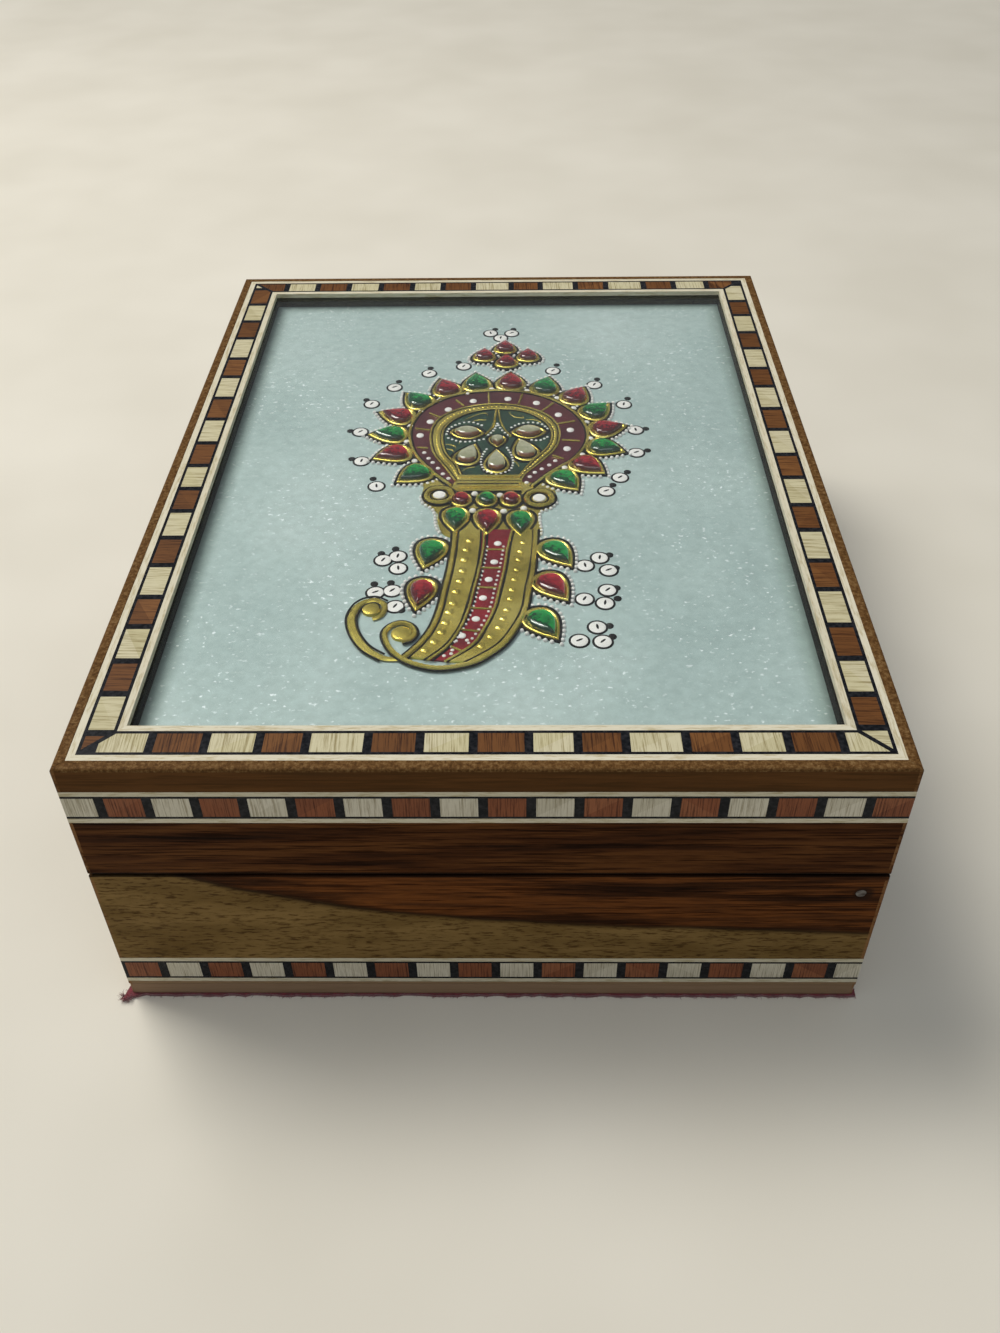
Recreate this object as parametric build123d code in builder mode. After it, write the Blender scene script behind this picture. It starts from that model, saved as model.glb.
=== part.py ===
"""Jewelry box of hardwood boards with inlaid bands and a glazed marble panel in the lid.

Millimetres. The origin is the middle of the footprint on the underside of the felt.
+X is to the right, +Y to the back, where the hinges are, and +Z up.
"""
import os
from itertools import cycle

from build123d import *

os.makedirs("parts", exist_ok=True)

# Outside of the closed box
box_width = 152.0
box_depth = 204.0
box_height = 69.0
lid_height = 28.5
seam_gap = 0.7

# Boards
wall_thickness = 9.0
bottom_thickness = 3.4
top_rail_thickness = 5.8
panel_thickness = 3.0
panel_clearance = 0.1
edge_rounding = 0.5

# Cloth under and inside the box
felt_thickness = 0.8
felt_overhang = 0.3
lining_thickness = 1.2
lining_below_rim = 1.0

# Inlaid band on the top frame, from the outer edge inwards
inlay_depth = 1.2
top_margin = 2.2
top_string_width = 1.4
top_line_width = 0.65
top_block_width = 4.7
top_block_gap = 1.6
smallest_chip = 1.5

# Inlaid bands round the lid and the base
side_string_width = 1.15
side_line_width = 0.55
side_block_height = 4.8
side_block_length = 6.8
side_block_gap = 1.8
base_band_lift = 0.9
lid_band_lead = -0.9
base_band_lead = -7.9

# Glass and marble
glass_thickness = 2.0
glass_clearance = 0.1
marble_recess = 5.2
marble_thickness = 4.6
marble_clearance = 0.2

# Hinges
hinge_inset = 34.0
hinge_length = 22.0
leaf_width = 7.5
leaf_thickness = 0.9
leaf_gap = 0.2
mortise_clearance = 0.05
barrel_radius = 1.5
barrel_stand_off = 0.3
knuckle_gap = 0.2
knuckle_relief = 0.25
pin_radius = 0.6
pin_clearance = 0.05
pin_head_radius = 0.95
pin_head_height = 0.4
stop_reach = 1.7
stop_drop = 0.25

# Screws in the leaves
screw_spacing = 12.0
screw_inset = 4.2
screw_shank_radius = 0.8
screw_head_radius = 1.5
screw_length = 6.0
screw_clearance = 0.05
screw_slot_width = 0.4
screw_slot_depth = 0.25

# Brads at the corners
brad_radius = 0.6
brad_head_radius = 1.0
brad_head_height = 0.5
brad_length = 20.0
brad_below_rim = 5.2
brad_clearance = 0.05

# Ornament on the marble
plate_thickness = 0.4
stone_height = 1.1
stone_taper = 30
head_centre = (1.4, 19.4)
head_radius = 25.0
ring_stone_size = (8.2, 5.6)
ring_stones = ((-18.9, 0.3, 221), (-24.8, 9.4, 205), (-26.4, 18.7, 180), (-25.1, 28.1, 158),
               (-20.3, 36.0, 130), (-13.1, 42.6, 110), (-4.9, 45.3, 95), (4.1, 45.8, 90),
               (13.3, 43.1, 78), (21.3, 38.0, 62), (26.3, 30.2, 45), (28.6, 21.2, 15),
               (27.6, 11.9, -22), (23.0, 3.8, -42), (17.2, -2.7, -56))
setting_border = 1.0
clear_stones = ((-7.3, 20.1, 6.5, 4.7), (9.0, 20.1, 6.5, 4.7), (1.0, 15.4, 3.3, 4.4),
                (-5.8, 10.3, 5.3, 8.5), (7.2, 12.9, 5.3, 8.5), (0.8, 5.2, 5.4, 8.7))
collar_red_stones = ((-7.3, -10.3, 4.0, 5.4), (4.2, -10.3, 4.0, 5.4), (-1.0, -18.3, 6.0, 8.6))
collar_green_stones = ((-1.0, -10.0, 4.0, 5.4), (-8.4, -18.3, 6.0, 8.6), (6.6, -18.7, 6.0, 8.6))
side_red_stones = ((-14.5, -44.8, 5.2, 7.0), (13.0, -43.0, 5.2, 7.0))
side_green_stones = ((-13.5, -30.3, 5.2, 7.0), (14.5, -31.0, 5.2, 7.0), (11.6, -55.3, 5.2, 7.0))
top_red_stones = ((2.8, 57.6, 4.2, 5.6), (-3.2, 61.6, 4.2, 5.6), (8.6, 61.2, 4.2, 5.6), (2.3, 65.8, 4.2, 5.6))
neck_outline = ((-8.7, 2.0), (6.5, 2.0), (9.5, -8.5), (8.0, -13.0), (-10.5, -13.0), (-11.5, -8.5))
tail_top = ((-8.0, -22.0), (10.5, -22.0))
tail_outer = ((10.5, -22.0), (9.8, -38.0), (7.9, -52.4), (5.0, -61.8), (-1.5, -68.4), (-10.2, -69.8),
              (-20.3, -66.9), (-26.1, -63.3), (-29.4, -56.0), (-27.6, -48.8), (-24.0, -47.0), (-21.4, -50.2))
tail_inner = ((-21.4, -50.2), (-22.3, -56.0), (-18.5, -60.0), (-14.5, -59.0), (-12.0, -56.0), (-9.5, -41.5),
              (-8.0, -22.0))

# Levels that follow from the sizes
half_width = box_width / 2
half_depth = box_depth / 2
bottom_level = felt_thickness
wall_level = bottom_level + bottom_thickness
lid_level = box_height - lid_height
rim_level = lid_level - seam_gap
rail_level = box_height - top_rail_thickness
seam_level = (rim_level + lid_level) / 2
glass_top = box_height - inlay_depth
glass_level = glass_top - glass_thickness
marble_top = box_height - marble_recess
marble_level = marble_top - marble_thickness
panel_level = marble_level - panel_thickness
floor_level = wall_level + lining_thickness

# Widths of the bands
top_band_width = 2 * top_string_width + 2 * top_line_width + top_block_width
side_band_height = 2 * side_string_width + 2 * side_line_width + side_block_height
opening_inset = top_margin + top_band_width
base_band_level = wall_level + base_band_lift
lid_band_level = rail_level - side_band_height

# Inside of the walls
inner_width = box_width - 2 * wall_thickness
inner_depth = box_depth - 2 * wall_thickness


def save(label, piece):
    """Name one node and write it as its own file."""
    piece.label = label
    export_step(piece, f"parts/{label}.step")


def save_group(label, pieces):
    """Separate solids of one kind that share a node."""
    solids = [solid for piece in pieces for solid in piece.solids()]
    save(label, Compound(label=label, children=solids))


def slab(size_x, size_y, level, thickness, centre=(0, 0)):
    """A flat board lying at a level."""
    with BuildPart() as board:
        with BuildSketch(Plane.XY.offset(level)):
            with Locations(centre):
                Rectangle(size_x, size_y)
        extrude(amount=thickness)
    return board.part


def face_ring(level, height, depth):
    """The space cut away all round the outer faces of the box."""
    with BuildPart() as ring:
        with BuildSketch(Plane.XY.offset(level)):
            Rectangle(box_width, box_depth)
            Rectangle(box_width - 2 * depth, box_depth - 2 * depth, mode=Mode.SUBTRACT)
        extrude(amount=height)
    return ring.part


# Footprints of the four walls: the front and back boards cover the ends of the side boards
wall_footprints = {
    "front": (box_width, wall_thickness, (0, -half_depth + wall_thickness / 2)),
    "back": (box_width, wall_thickness, (0, half_depth - wall_thickness / 2)),
    "left": (wall_thickness, inner_depth, (-half_width + wall_thickness / 2, 0)),
    "right": (wall_thickness, inner_depth, (half_width - wall_thickness / 2, 0)),
}

# Felt and bottom board
with BuildPart() as felt_base:
    with BuildSketch():
        Rectangle(box_width + 2 * felt_overhang, box_depth + 2 * felt_overhang)
    extrude(amount=felt_thickness)
save("felt_base", felt_base.part)

with BuildPart() as bottom_board:
    add(slab(box_width, box_depth, bottom_level, bottom_thickness))
    fillet(bottom_board.edges().filter_by(Axis.Z), radius=edge_rounding)
save("bottom_board", bottom_board.part)

# Hinge places along the back
hinge_y = half_depth + barrel_stand_off + barrel_radius
hinge_centres = (-half_width + hinge_inset, half_width - hinge_inset)
screw_y = half_depth - screw_inset
screw_centres = [(x + side * screw_spacing / 2, screw_y) for x in hinge_centres for side in (-1, 1)]
base_leaf_top = seam_level - leaf_gap / 2
lid_leaf_bottom = seam_level + leaf_gap / 2
mortise_width = hinge_length + 2 * mortise_clearance
mortise_reach = leaf_width + mortise_clearance


def mortises(level, height):
    """The two shallow seats for the hinge leaves in a back wall."""
    with BuildPart() as seats:
        with BuildSketch(Plane.XY.offset(level)):
            with Locations(*[(x, half_depth - mortise_reach / 2) for x in hinge_centres]):
                Rectangle(mortise_width, mortise_reach)
        extrude(amount=height)
    return seats.part


def screw_holes(mouth_level, direction):
    """Pilot holes that run from a mortise into the wood."""
    with BuildPart() as holes:
        with BuildSketch(Plane.XY.offset(mouth_level)):
            with Locations(*screw_centres):
                Circle(screw_shank_radius + screw_clearance)
        extrude(amount=direction * (screw_length + screw_clearance))
    return holes.part


# Brads through the front and back boards into the ends of the right side board and the left one behind
brad_level = rim_level - brad_below_rim
brad_x = half_width - wall_thickness / 2
front_face = Plane(origin=(0, -half_depth, brad_level), x_dir=(1, 0, 0), z_dir=(0, -1, 0))
back_face = Plane(origin=(0, half_depth, brad_level), x_dir=(-1, 0, 0), z_dir=(0, 1, 0))
brad_places = ((front_face, brad_x), (back_face, brad_x), (back_face, -brad_x))


def brad(face, along, growth):
    """One round brad, or its hole when it grows by a clearance."""
    with BuildPart() as nail:
        with BuildSketch(face):
            with Locations((along, 0)):
                Circle(brad_radius + growth)
        extrude(amount=-(brad_length + growth))
        with BuildSketch(face):
            with Locations((along, 0)):
                Circle(brad_head_radius + growth)
        extrude(amount=-(brad_head_height + growth))
    return nail.part


brads = [brad(face, along, 0) for face, along in brad_places]
brad_holes = [brad(face, along, brad_clearance) for face, along in brad_places]
save_group("corner_brads", brads)

# Walls of the base, grooved all round for the band
base_groove = face_ring(base_band_level, side_band_height, inlay_depth)
for side, (size_x, size_y, centre) in wall_footprints.items():
    with BuildPart() as base_wall:
        add(slab(size_x, size_y, wall_level, rim_level - wall_level, centre))
        add(base_groove, mode=Mode.SUBTRACT)
        for hole in brad_holes:
            add(hole, mode=Mode.SUBTRACT)
        if side == "back":
            seat_level = base_leaf_top - leaf_thickness
            add(mortises(seat_level, leaf_thickness + seam_gap), mode=Mode.SUBTRACT)
            add(screw_holes(seat_level, -1), mode=Mode.SUBTRACT)
    save(f"base_{side}_wall", base_wall.part)

# Walls of the lid, rebated under the rails for the band
lid_groove = face_ring(lid_band_level, side_band_height, inlay_depth)
for side, (size_x, size_y, centre) in wall_footprints.items():
    with BuildPart() as lid_wall:
        add(slab(size_x, size_y, lid_level, rail_level - lid_level, centre))
        add(lid_groove, mode=Mode.SUBTRACT)
        if side == "back":
            seat_level = lid_leaf_bottom + leaf_thickness
            add(mortises(seat_level, -leaf_thickness - seam_gap), mode=Mode.SUBTRACT)
            add(screw_holes(seat_level, 1), mode=Mode.SUBTRACT)
    save(f"lid_{side}_wall", lid_wall.part)

# The four sides of the top frame: direction along the rail, half its length, half the frame across it
top_sides = {
    "front": ((1, 0, 0), half_width, half_depth),
    "right": ((0, 1, 0), half_depth, half_width),
    "back": ((-1, 0, 0), half_width, half_depth),
    "left": ((0, -1, 0), half_depth, half_width),
}


def mitred_outline(half_length, half_across, near, far, end_inset=0.0):
    """Corners of a strip that runs between two distances from the outer edge, with mitred ends."""
    outer = half_length - near - end_inset
    inner = half_length - far - end_inset
    return (-outer, near - half_across), (outer, near - half_across), (inner, far - half_across), (
        -inner, far - half_across)


def mitred_strip(side, near, far, level, thickness):
    """A strip of the top frame from a level down."""
    direction, half_length, half_across = top_sides[side]
    with BuildPart() as strip:
        with BuildSketch(Plane(origin=(0, 0, level), x_dir=direction, z_dir=(0, 0, 1))):
            Polygon(*mitred_outline(half_length, half_across, near, far), align=None)
        extrude(amount=-thickness)
    return strip.part


# Rails: a wide groove on top for the inlay and a ledge at the inner edge for the glass
for side in top_sides:
    with BuildPart() as rail:
        add(mitred_strip(side, 0, opening_inset, box_height, top_rail_thickness))
        outer_top = rail.edges().filter_by(lambda edge: edge.length > box_width - 1).group_by(Axis.Z)[-1]
        outer_edge = outer_top.sort_by(lambda edge: edge.length)[-1]
        fillet(outer_edge, radius=edge_rounding)
        add(mitred_strip(side, top_margin, opening_inset, box_height, inlay_depth), mode=Mode.SUBTRACT)
        add(mitred_strip(side, opening_inset - top_string_width, opening_inset, glass_top, glass_thickness),
            mode=Mode.SUBTRACT)
    save(f"top_rail_{side}", rail.part)

# Lengths of the blocks on the top frame as they were cut by hand, from each rail's own left end
top_rows = {
    "front": ("wood", -2.5, (8.0, 8.4, 8.2, 8.0, 6.8, 9.4, 7.7, 7.9, 8.3, 7.1, 6.9, 9.1, 7.2, 7.6, 8.0, 7.2)),
    "back": ("bone", -3.0, (8.0, 6.8, 8.1, 7.3, 9.5, 7.4, 8.8, 7.0, 9.6, 7.4, 7.5, 7.7, 7.9, 7.7, 7.6, 8.0)),
    "left": ("bone", -1.3, (8.0, 8.9, 9.4, 8.8, 10.4, 8.6, 9.7, 9.0, 9.8, 8.6, 8.3, 7.5, 8.7, 8.4, 9.3, 7.9,
                            8.8, 7.7, 8.8, 8.0)),
    "right": ("bone", 1.4, (8.0, 7.2, 8.5, 8.4, 9.9, 8.2, 9.6, 8.1, 9.7, 8.4, 9.9, 8.6, 9.8, 8.2, 9.7, 7.9,
                            9.2, 7.5, 9.4, 8.0)),
}
top_row_near = top_margin + top_string_width + top_line_width
top_row_far = top_row_near + top_block_width


def top_row_spans(side):
    """Start and end of each bone and wood block along one rail."""
    first, lead, lengths = top_rows[side]
    half_length = top_sides[side][1]
    spans = {"bone": [], "wood": []}
    kinds = cycle(("bone", "wood") if first == "bone" else ("wood", "bone"))
    start = lead - half_length
    for length, kind in zip(cycle(lengths), kinds):
        if start > half_length - top_row_near:
            break
        spans[kind].append((start, start + length))
        start += length + top_block_gap
    return spans


def top_blocks(side, spans):
    """Blocks of one kind in one row, cut off by the mitres at its ends."""
    direction, half_length, half_across = top_sides[side]
    row_middle = (top_row_near + top_row_far) / 2 - half_across
    with BuildPart() as blocks:
        with BuildSketch(Plane(origin=(0, 0, box_height), x_dir=direction, z_dir=(0, 0, 1))):
            for start, end in spans:
                with Locations(((start + end) / 2, row_middle)):
                    Rectangle(end - start, top_block_width)
            row = mitred_outline(half_length, half_across, top_row_near, top_row_far, top_line_width)
            Polygon(*row, align=None, mode=Mode.INTERSECT)
        extrude(amount=-inlay_depth)
    return [block for block in blocks.solids() if block.volume > smallest_chip * inlay_depth]


top_bone = []
top_wood = []
top_black = []
for side in top_sides:
    spans = top_row_spans(side)
    bone = top_blocks(side, spans["bone"])
    wood = top_blocks(side, spans["wood"])
    with BuildPart() as ladder:
        add(mitred_strip(side, top_row_near - top_line_width, top_row_far + top_line_width, box_height, inlay_depth))
        for block in bone + wood:
            add(block, mode=Mode.SUBTRACT)
    top_bone += bone
    top_wood += wood
    top_black.append(ladder.part)
save_group("top_bone_blocks", top_bone)
save_group("top_wood_blocks", top_wood)
save_group("top_black_lines", top_black)
save_group("top_outer_strings", [mitred_strip(side, top_margin, top_margin + top_string_width, box_height, inlay_depth)
                                 for side in top_sides])
save_group("top_inner_strings", [mitred_strip(side, opening_inset - top_string_width, opening_inset, box_height,
                                              inlay_depth) for side in top_sides])

# Outer faces that carry the side bands: direction along the band, outward normal, distance, length
side_faces = {
    "front": ((1, 0, 0), (0, -1, 0), half_depth, box_width),
    "right": ((0, 1, 0), (1, 0, 0), half_width, box_depth - 2 * inlay_depth),
    "back": ((-1, 0, 0), (0, 1, 0), half_depth, box_width),
    "left": ((0, -1, 0), (-1, 0, 0), half_width, box_depth - 2 * inlay_depth),
}


def face_plane(side, level):
    """The plane of an outer face, with its origin on the middle line of a band."""
    direction, normal, distance, _ = side_faces[side]
    origin = Vector(*normal) * distance + Vector(0, 0, level)
    return Plane(origin=origin, x_dir=direction, z_dir=normal)


def let_in(plane, bars):
    """Bars let into a face: each has its middle along the band, its middle across it, length and height."""
    with BuildPart() as inlay:
        with BuildSketch(plane):
            for along, across, length, height in bars:
                with Locations((along, across)):
                    Rectangle(length, height)
        extrude(amount=-inlay_depth)
    return inlay.part


def side_row(length, lead):
    """Middle and length of the blocks along a side band, shortened where the band ends."""
    blocks = []
    start = lead - length / 2
    while start < length / 2:
        low = max(start, -length / 2)
        high = min(start + side_block_length, length / 2)
        blocks.append(((low + high) / 2, high - low))
        start += side_block_length + side_block_gap
    return [block if block[1] > smallest_chip else None for block in blocks]


def side_band(name, level, first, lead):
    """Strings, black ladder and blocks of one band round the box."""
    strings = []
    black = []
    bone = []
    wood = []
    string_offset = (side_band_height - side_string_width) / 2
    ladder_height = side_band_height - 2 * side_string_width
    for side, (_, _, _, length) in side_faces.items():
        plane = face_plane(side, level + side_band_height / 2)
        for across in (-string_offset, string_offset):
            strings.append(let_in(plane, [(0, across, length, side_string_width)]))
        bars = [block and (block[0], 0, block[1], side_block_height) for block in side_row(length, lead)]
        even = let_in(plane, [bar for bar in bars[0::2] if bar])
        odd = let_in(plane, [bar for bar in bars[1::2] if bar])
        (bone if first == "bone" else wood).append(even)
        (wood if first == "bone" else bone).append(odd)
        with BuildPart() as ladder:
            add(let_in(plane, [(0, 0, length, ladder_height)]))
            add(even, mode=Mode.SUBTRACT)
            add(odd, mode=Mode.SUBTRACT)
        black.append(ladder.part)
    save_group(f"{name}_band_strings", strings)
    save_group(f"{name}_band_black_lines", black)
    save_group(f"{name}_band_bone_blocks", bone)
    save_group(f"{name}_band_wood_blocks", wood)


side_band("lid", lid_band_level, "bone", lid_band_lead)
side_band("base", base_band_level, "bone", base_band_lead)

# Glass on its ledge, marble in the opening and the panel that carries it
opening_width = box_width - 2 * opening_inset
opening_depth = box_depth - 2 * opening_inset
glass_growth = 2 * (top_string_width - glass_clearance)
with BuildPart() as glass_pane:
    add(slab(opening_width + glass_growth, opening_depth + glass_growth, glass_level, glass_thickness))
save("glass_pane", glass_pane.part)

with BuildPart() as marble_tile:
    add(slab(opening_width - 2 * marble_clearance, opening_depth - 2 * marble_clearance, marble_level,
             marble_thickness))
save("marble_tile", marble_tile.part)

with BuildPart() as lid_panel:
    add(slab(inner_width - 2 * panel_clearance, inner_depth - 2 * panel_clearance, panel_level, panel_thickness))
save("lid_panel", lid_panel.part)


def wall_lining(level, height):
    """Four strips of lining that stand against the walls, butted at the corners."""
    side_length = inner_depth - 2 * lining_thickness
    across = (inner_depth - lining_thickness) / 2
    beside = (inner_width - lining_thickness) / 2
    return [slab(inner_width, lining_thickness, level, height, (0, -across)),
            slab(inner_width, lining_thickness, level, height, (0, across)),
            slab(lining_thickness, side_length, level, height, (-beside, 0)),
            slab(lining_thickness, side_length, level, height, (beside, 0))]


# Linings
with BuildPart() as base_floor_lining:
    add(slab(inner_width, inner_depth, wall_level, lining_thickness))
save("base_floor_lining", base_floor_lining.part)
save_group("base_wall_lining", wall_lining(floor_level, rim_level - lining_below_rim - floor_level))

ceiling_level = panel_level - lining_thickness
with BuildPart() as lid_ceiling_lining:
    add(slab(inner_width, inner_depth, ceiling_level, lining_thickness))
save("lid_ceiling_lining", lid_ceiling_lining.part)
lid_lining_level = lid_level + lining_below_rim
save_group("lid_wall_lining", wall_lining(lid_lining_level, ceiling_level - lid_lining_level))

# Hinges, drawn in the plane across the barrel: local x runs to the front, local y up
knuckle_length = (hinge_length - 2 * knuckle_gap) / 3
knuckle_pitch = knuckle_length + knuckle_gap
plate_start = barrel_radius + knuckle_relief
plate_reach = hinge_y - half_depth + leaf_width
stop_end = barrel_radius + stop_reach


def across_barrel(x):
    """The plane across a barrel at x, looking along the barrel."""
    return Plane(origin=(x, hinge_y, seam_level), x_dir=(0, -1, 0), z_dir=(-1, 0, 0))


def leaf_bar(x, length, low, high, bottom, top):
    """A straight bar of a leaf, centred on x, between two distances to the front and two heights."""
    with BuildPart() as bar:
        with BuildSketch(across_barrel(x)):
            with Locations(((low + high) / 2, (bottom + top) / 2)):
                Rectangle(high - low, top - bottom)
        extrude(amount=length / 2, both=True)
    return bar.part


def knuckle(x, radius, length):
    """A round length of the barrel, or of its bore."""
    with BuildPart() as roll:
        with BuildSketch(across_barrel(x)):
            Circle(radius)
        extrude(amount=length / 2, both=True)
    return roll.part


def countersinks(level, direction):
    """Tapered seats for the screws through a leaf, from its open face."""
    seat = screw_head_radius + screw_clearance
    shank = screw_shank_radius + screw_clearance
    with BuildPart() as seats:
        with Locations(*[(x, y, level) for x, y in screw_centres]):
            Cylinder(shank, 3 * leaf_thickness)
        with BuildSketch(Plane.XY.offset(level)):
            with Locations(*screw_centres):
                Circle(seat)
        with BuildSketch(Plane.XY.offset(level + direction * (seat - shank))):
            with Locations(*screw_centres):
                Circle(shank)
        for low, high in zip(seats.pending_faces[:len(screw_centres)], seats.pending_faces[len(screw_centres):]):
            loft(sections=[low, high], mode=Mode.ADD)
        seats.pending_faces.clear()
    return seats.part


def hinge_leaf(x, knuckles, bottom, top, stop, seats):
    """One leaf: its plate, its knuckles on the barrel and its stop, bored for the pin and screws."""
    with BuildPart() as leaf:
        add(leaf_bar(x, hinge_length, plate_start, plate_reach, bottom, top))
        for place in knuckles:
            add(knuckle(x + place, barrel_radius, knuckle_length))
            add(leaf_bar(x + place, knuckle_length, 0, plate_start, bottom, top))
        for bar in stop:
            add(leaf_bar(x + bar[0], *bar[1:]))
        add(knuckle(x, pin_radius + pin_clearance, hinge_length + 1), mode=Mode.SUBTRACT)
        add(seats, mode=Mode.SUBTRACT)
    return leaf.part


base_leaves = []
lid_leaves = []
pins = []
half_gap = leaf_gap / 2
base_seats = countersinks(base_leaf_top, -1)
lid_seats = countersinks(lid_leaf_bottom, 1)
base_stop = [(place, knuckle_length, -stop_end, -barrel_radius / 2, -half_gap - leaf_thickness, -half_gap - stop_drop)
             for place in (-knuckle_pitch, knuckle_pitch)]
lid_stop = [(0, knuckle_length, 0, leaf_thickness, barrel_radius / 2, plate_start),
            (0, hinge_length, 0, leaf_thickness, plate_start, stop_end)]
for x in hinge_centres:
    base_leaves.append(hinge_leaf(x, (-knuckle_pitch, knuckle_pitch), -half_gap - leaf_thickness, -half_gap,
                                  base_stop, base_seats))
    lid_leaves.append(hinge_leaf(x, (0,), half_gap, half_gap + leaf_thickness, lid_stop, lid_seats))
    with BuildPart() as pin:
        add(knuckle(x, pin_radius, hinge_length + 2 * pin_head_height))
        for end in (-1, 1):
            head_middle = hinge_length / 2 + knuckle_gap / 4 + pin_head_height / 2
            add(knuckle(x + end * head_middle, pin_head_radius, pin_head_height))
    pins.append(pin.part)
save_group("hinge_base_leaves", base_leaves)
save_group("hinge_lid_leaves", lid_leaves)
save_group("hinge_pins", pins)


def screw(x, y, level, direction):
    """One countersunk screw whose head is flush with a level and whose shank runs in a direction."""
    taper = screw_head_radius - screw_shank_radius
    with BuildPart() as fastener:
        with BuildSketch(Plane(origin=(x, y, level), x_dir=(1, 0, 0), z_dir=(0, -direction, 0))):
            with BuildLine():
                Polyline((0, 0), (screw_head_radius, 0), (screw_shank_radius, taper),
                         (screw_shank_radius, screw_length - screw_shank_radius), (0, screw_length), close=True)
            make_face()
        revolve(axis=Axis((x, y, level), (0, 0, 1)))
        with Locations((x, y, level)):
            Box(2 * screw_head_radius, screw_slot_width, 2 * screw_slot_depth, mode=Mode.SUBTRACT)
    return fastener.part


save_group("hinge_base_screws", [screw(x, y, base_leaf_top, -1) for x, y in screw_centres])
save_group("hinge_lid_screws", [screw(x, y, lid_leaf_bottom, 1) for x, y in screw_centres])

# Ornament: a gold plate on the marble and the stones on it
plate_stones = collar_red_stones + collar_green_stones + side_red_stones + side_green_stones + top_red_stones

with BuildPart() as ornament_plate:
    with BuildSketch(Plane.XY.offset(marble_top)):
        with Locations(head_centre):
            Circle(head_radius)
        for x, y, angle in ring_stones:
            with Locations(Location((x, y, 0), (0, 0, angle))):
                Ellipse(ring_stone_size[0] / 2 + setting_border, ring_stone_size[1] / 2 + setting_border)
        for x, y, width, height in plate_stones:
            with Locations((x, y)):
                Ellipse(width / 2 + setting_border, height / 2 + setting_border)
        Polygon(*neck_outline, align=None)
        with BuildLine():
            Line(*tail_top)
            Spline(*tail_outer)
            Spline(*tail_inner)
        make_face()
    extrude(amount=plate_thickness)
save("ornament_plate", ornament_plate.part)


def stones(places):
    """Low domes with flat tops, set on the plate; each place is (x, y, width, height, turn)."""
    with BuildPart() as cabochons:
        for x, y, width, height, turn in places:
            with BuildSketch(Plane.XY.offset(marble_top + plate_thickness)):
                with Locations(Location((x, y, 0), (0, 0, turn))):
                    Ellipse(width / 2, height / 2)
            extrude(amount=stone_height, taper=stone_taper)
    return cabochons.part


def upright(places):
    """Stones that aren't turned."""
    return [(*place, 0) for place in places]


ring = [(x, y, *ring_stone_size, angle) for x, y, angle in ring_stones]
save_group("emerald_stones", [stones(ring[0::2] + upright(collar_green_stones + side_green_stones))])
save_group("ruby_stones", [stones(ring[1::2] + upright(collar_red_stones + side_red_stones + top_red_stones))])
save_group("clear_stones", [stones(upright(clear_stones))])
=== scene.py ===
import random
from math import atan2, cos, hypot, pi, radians, sin

import bmesh
import bpy
from mathutils import Matrix, Vector


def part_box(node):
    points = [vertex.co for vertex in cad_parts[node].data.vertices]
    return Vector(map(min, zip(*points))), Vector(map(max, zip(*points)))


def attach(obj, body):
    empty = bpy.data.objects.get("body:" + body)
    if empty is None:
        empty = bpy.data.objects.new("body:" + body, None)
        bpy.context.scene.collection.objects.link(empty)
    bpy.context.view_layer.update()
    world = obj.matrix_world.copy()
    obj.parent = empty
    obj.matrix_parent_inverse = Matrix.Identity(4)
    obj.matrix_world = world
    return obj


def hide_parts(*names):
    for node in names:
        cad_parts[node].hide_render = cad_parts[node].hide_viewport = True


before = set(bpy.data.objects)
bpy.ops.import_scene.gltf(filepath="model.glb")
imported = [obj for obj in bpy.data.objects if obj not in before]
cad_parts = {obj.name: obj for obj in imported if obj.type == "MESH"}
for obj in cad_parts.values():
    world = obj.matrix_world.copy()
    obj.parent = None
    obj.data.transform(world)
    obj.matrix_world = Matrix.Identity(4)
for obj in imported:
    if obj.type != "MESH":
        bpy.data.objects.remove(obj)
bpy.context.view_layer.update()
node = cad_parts
mm = 0.001


def add_object(name, data):
    """A new object in the scene."""
    made = bpy.data.objects.new(name, data)
    bpy.context.scene.collection.objects.link(made)
    return made


def mesh_piece(name, corners, faces):
    """A new piece from corners in metres."""
    mesh = bpy.data.meshes.new(name)
    mesh.from_pydata(corners, [], faces)
    return add_object(name, mesh)


# Camera, floor and light
# The view is that of a hand-held camera above the front edge. The floor is a plain cream sheet
# and the light comes softly from above, behind and to the left, so the front faces lie in shade.
camera_place = Vector((5.9, -246.1, 220.1)) * mm
camera_pitch = radians(41.45)
camera_yaw = -0.0201
camera_roll = -0.0155
camera_data = bpy.data.cameras.new("camera")
camera_data.lens = 32.4
camera_data.sensor_width = 36
camera_data.clip_start = 0.005
camera = add_object("camera", camera_data)
camera.matrix_world = (
    Matrix.Translation(camera_place)
    @ Matrix.Rotation(-camera_yaw, 4, "Z")
    @ Matrix.Rotation(pi / 2 - camera_pitch, 4, "X")
    @ Matrix.Rotation(camera_roll, 4, "Z")
)
bpy.context.scene.camera = camera


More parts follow.
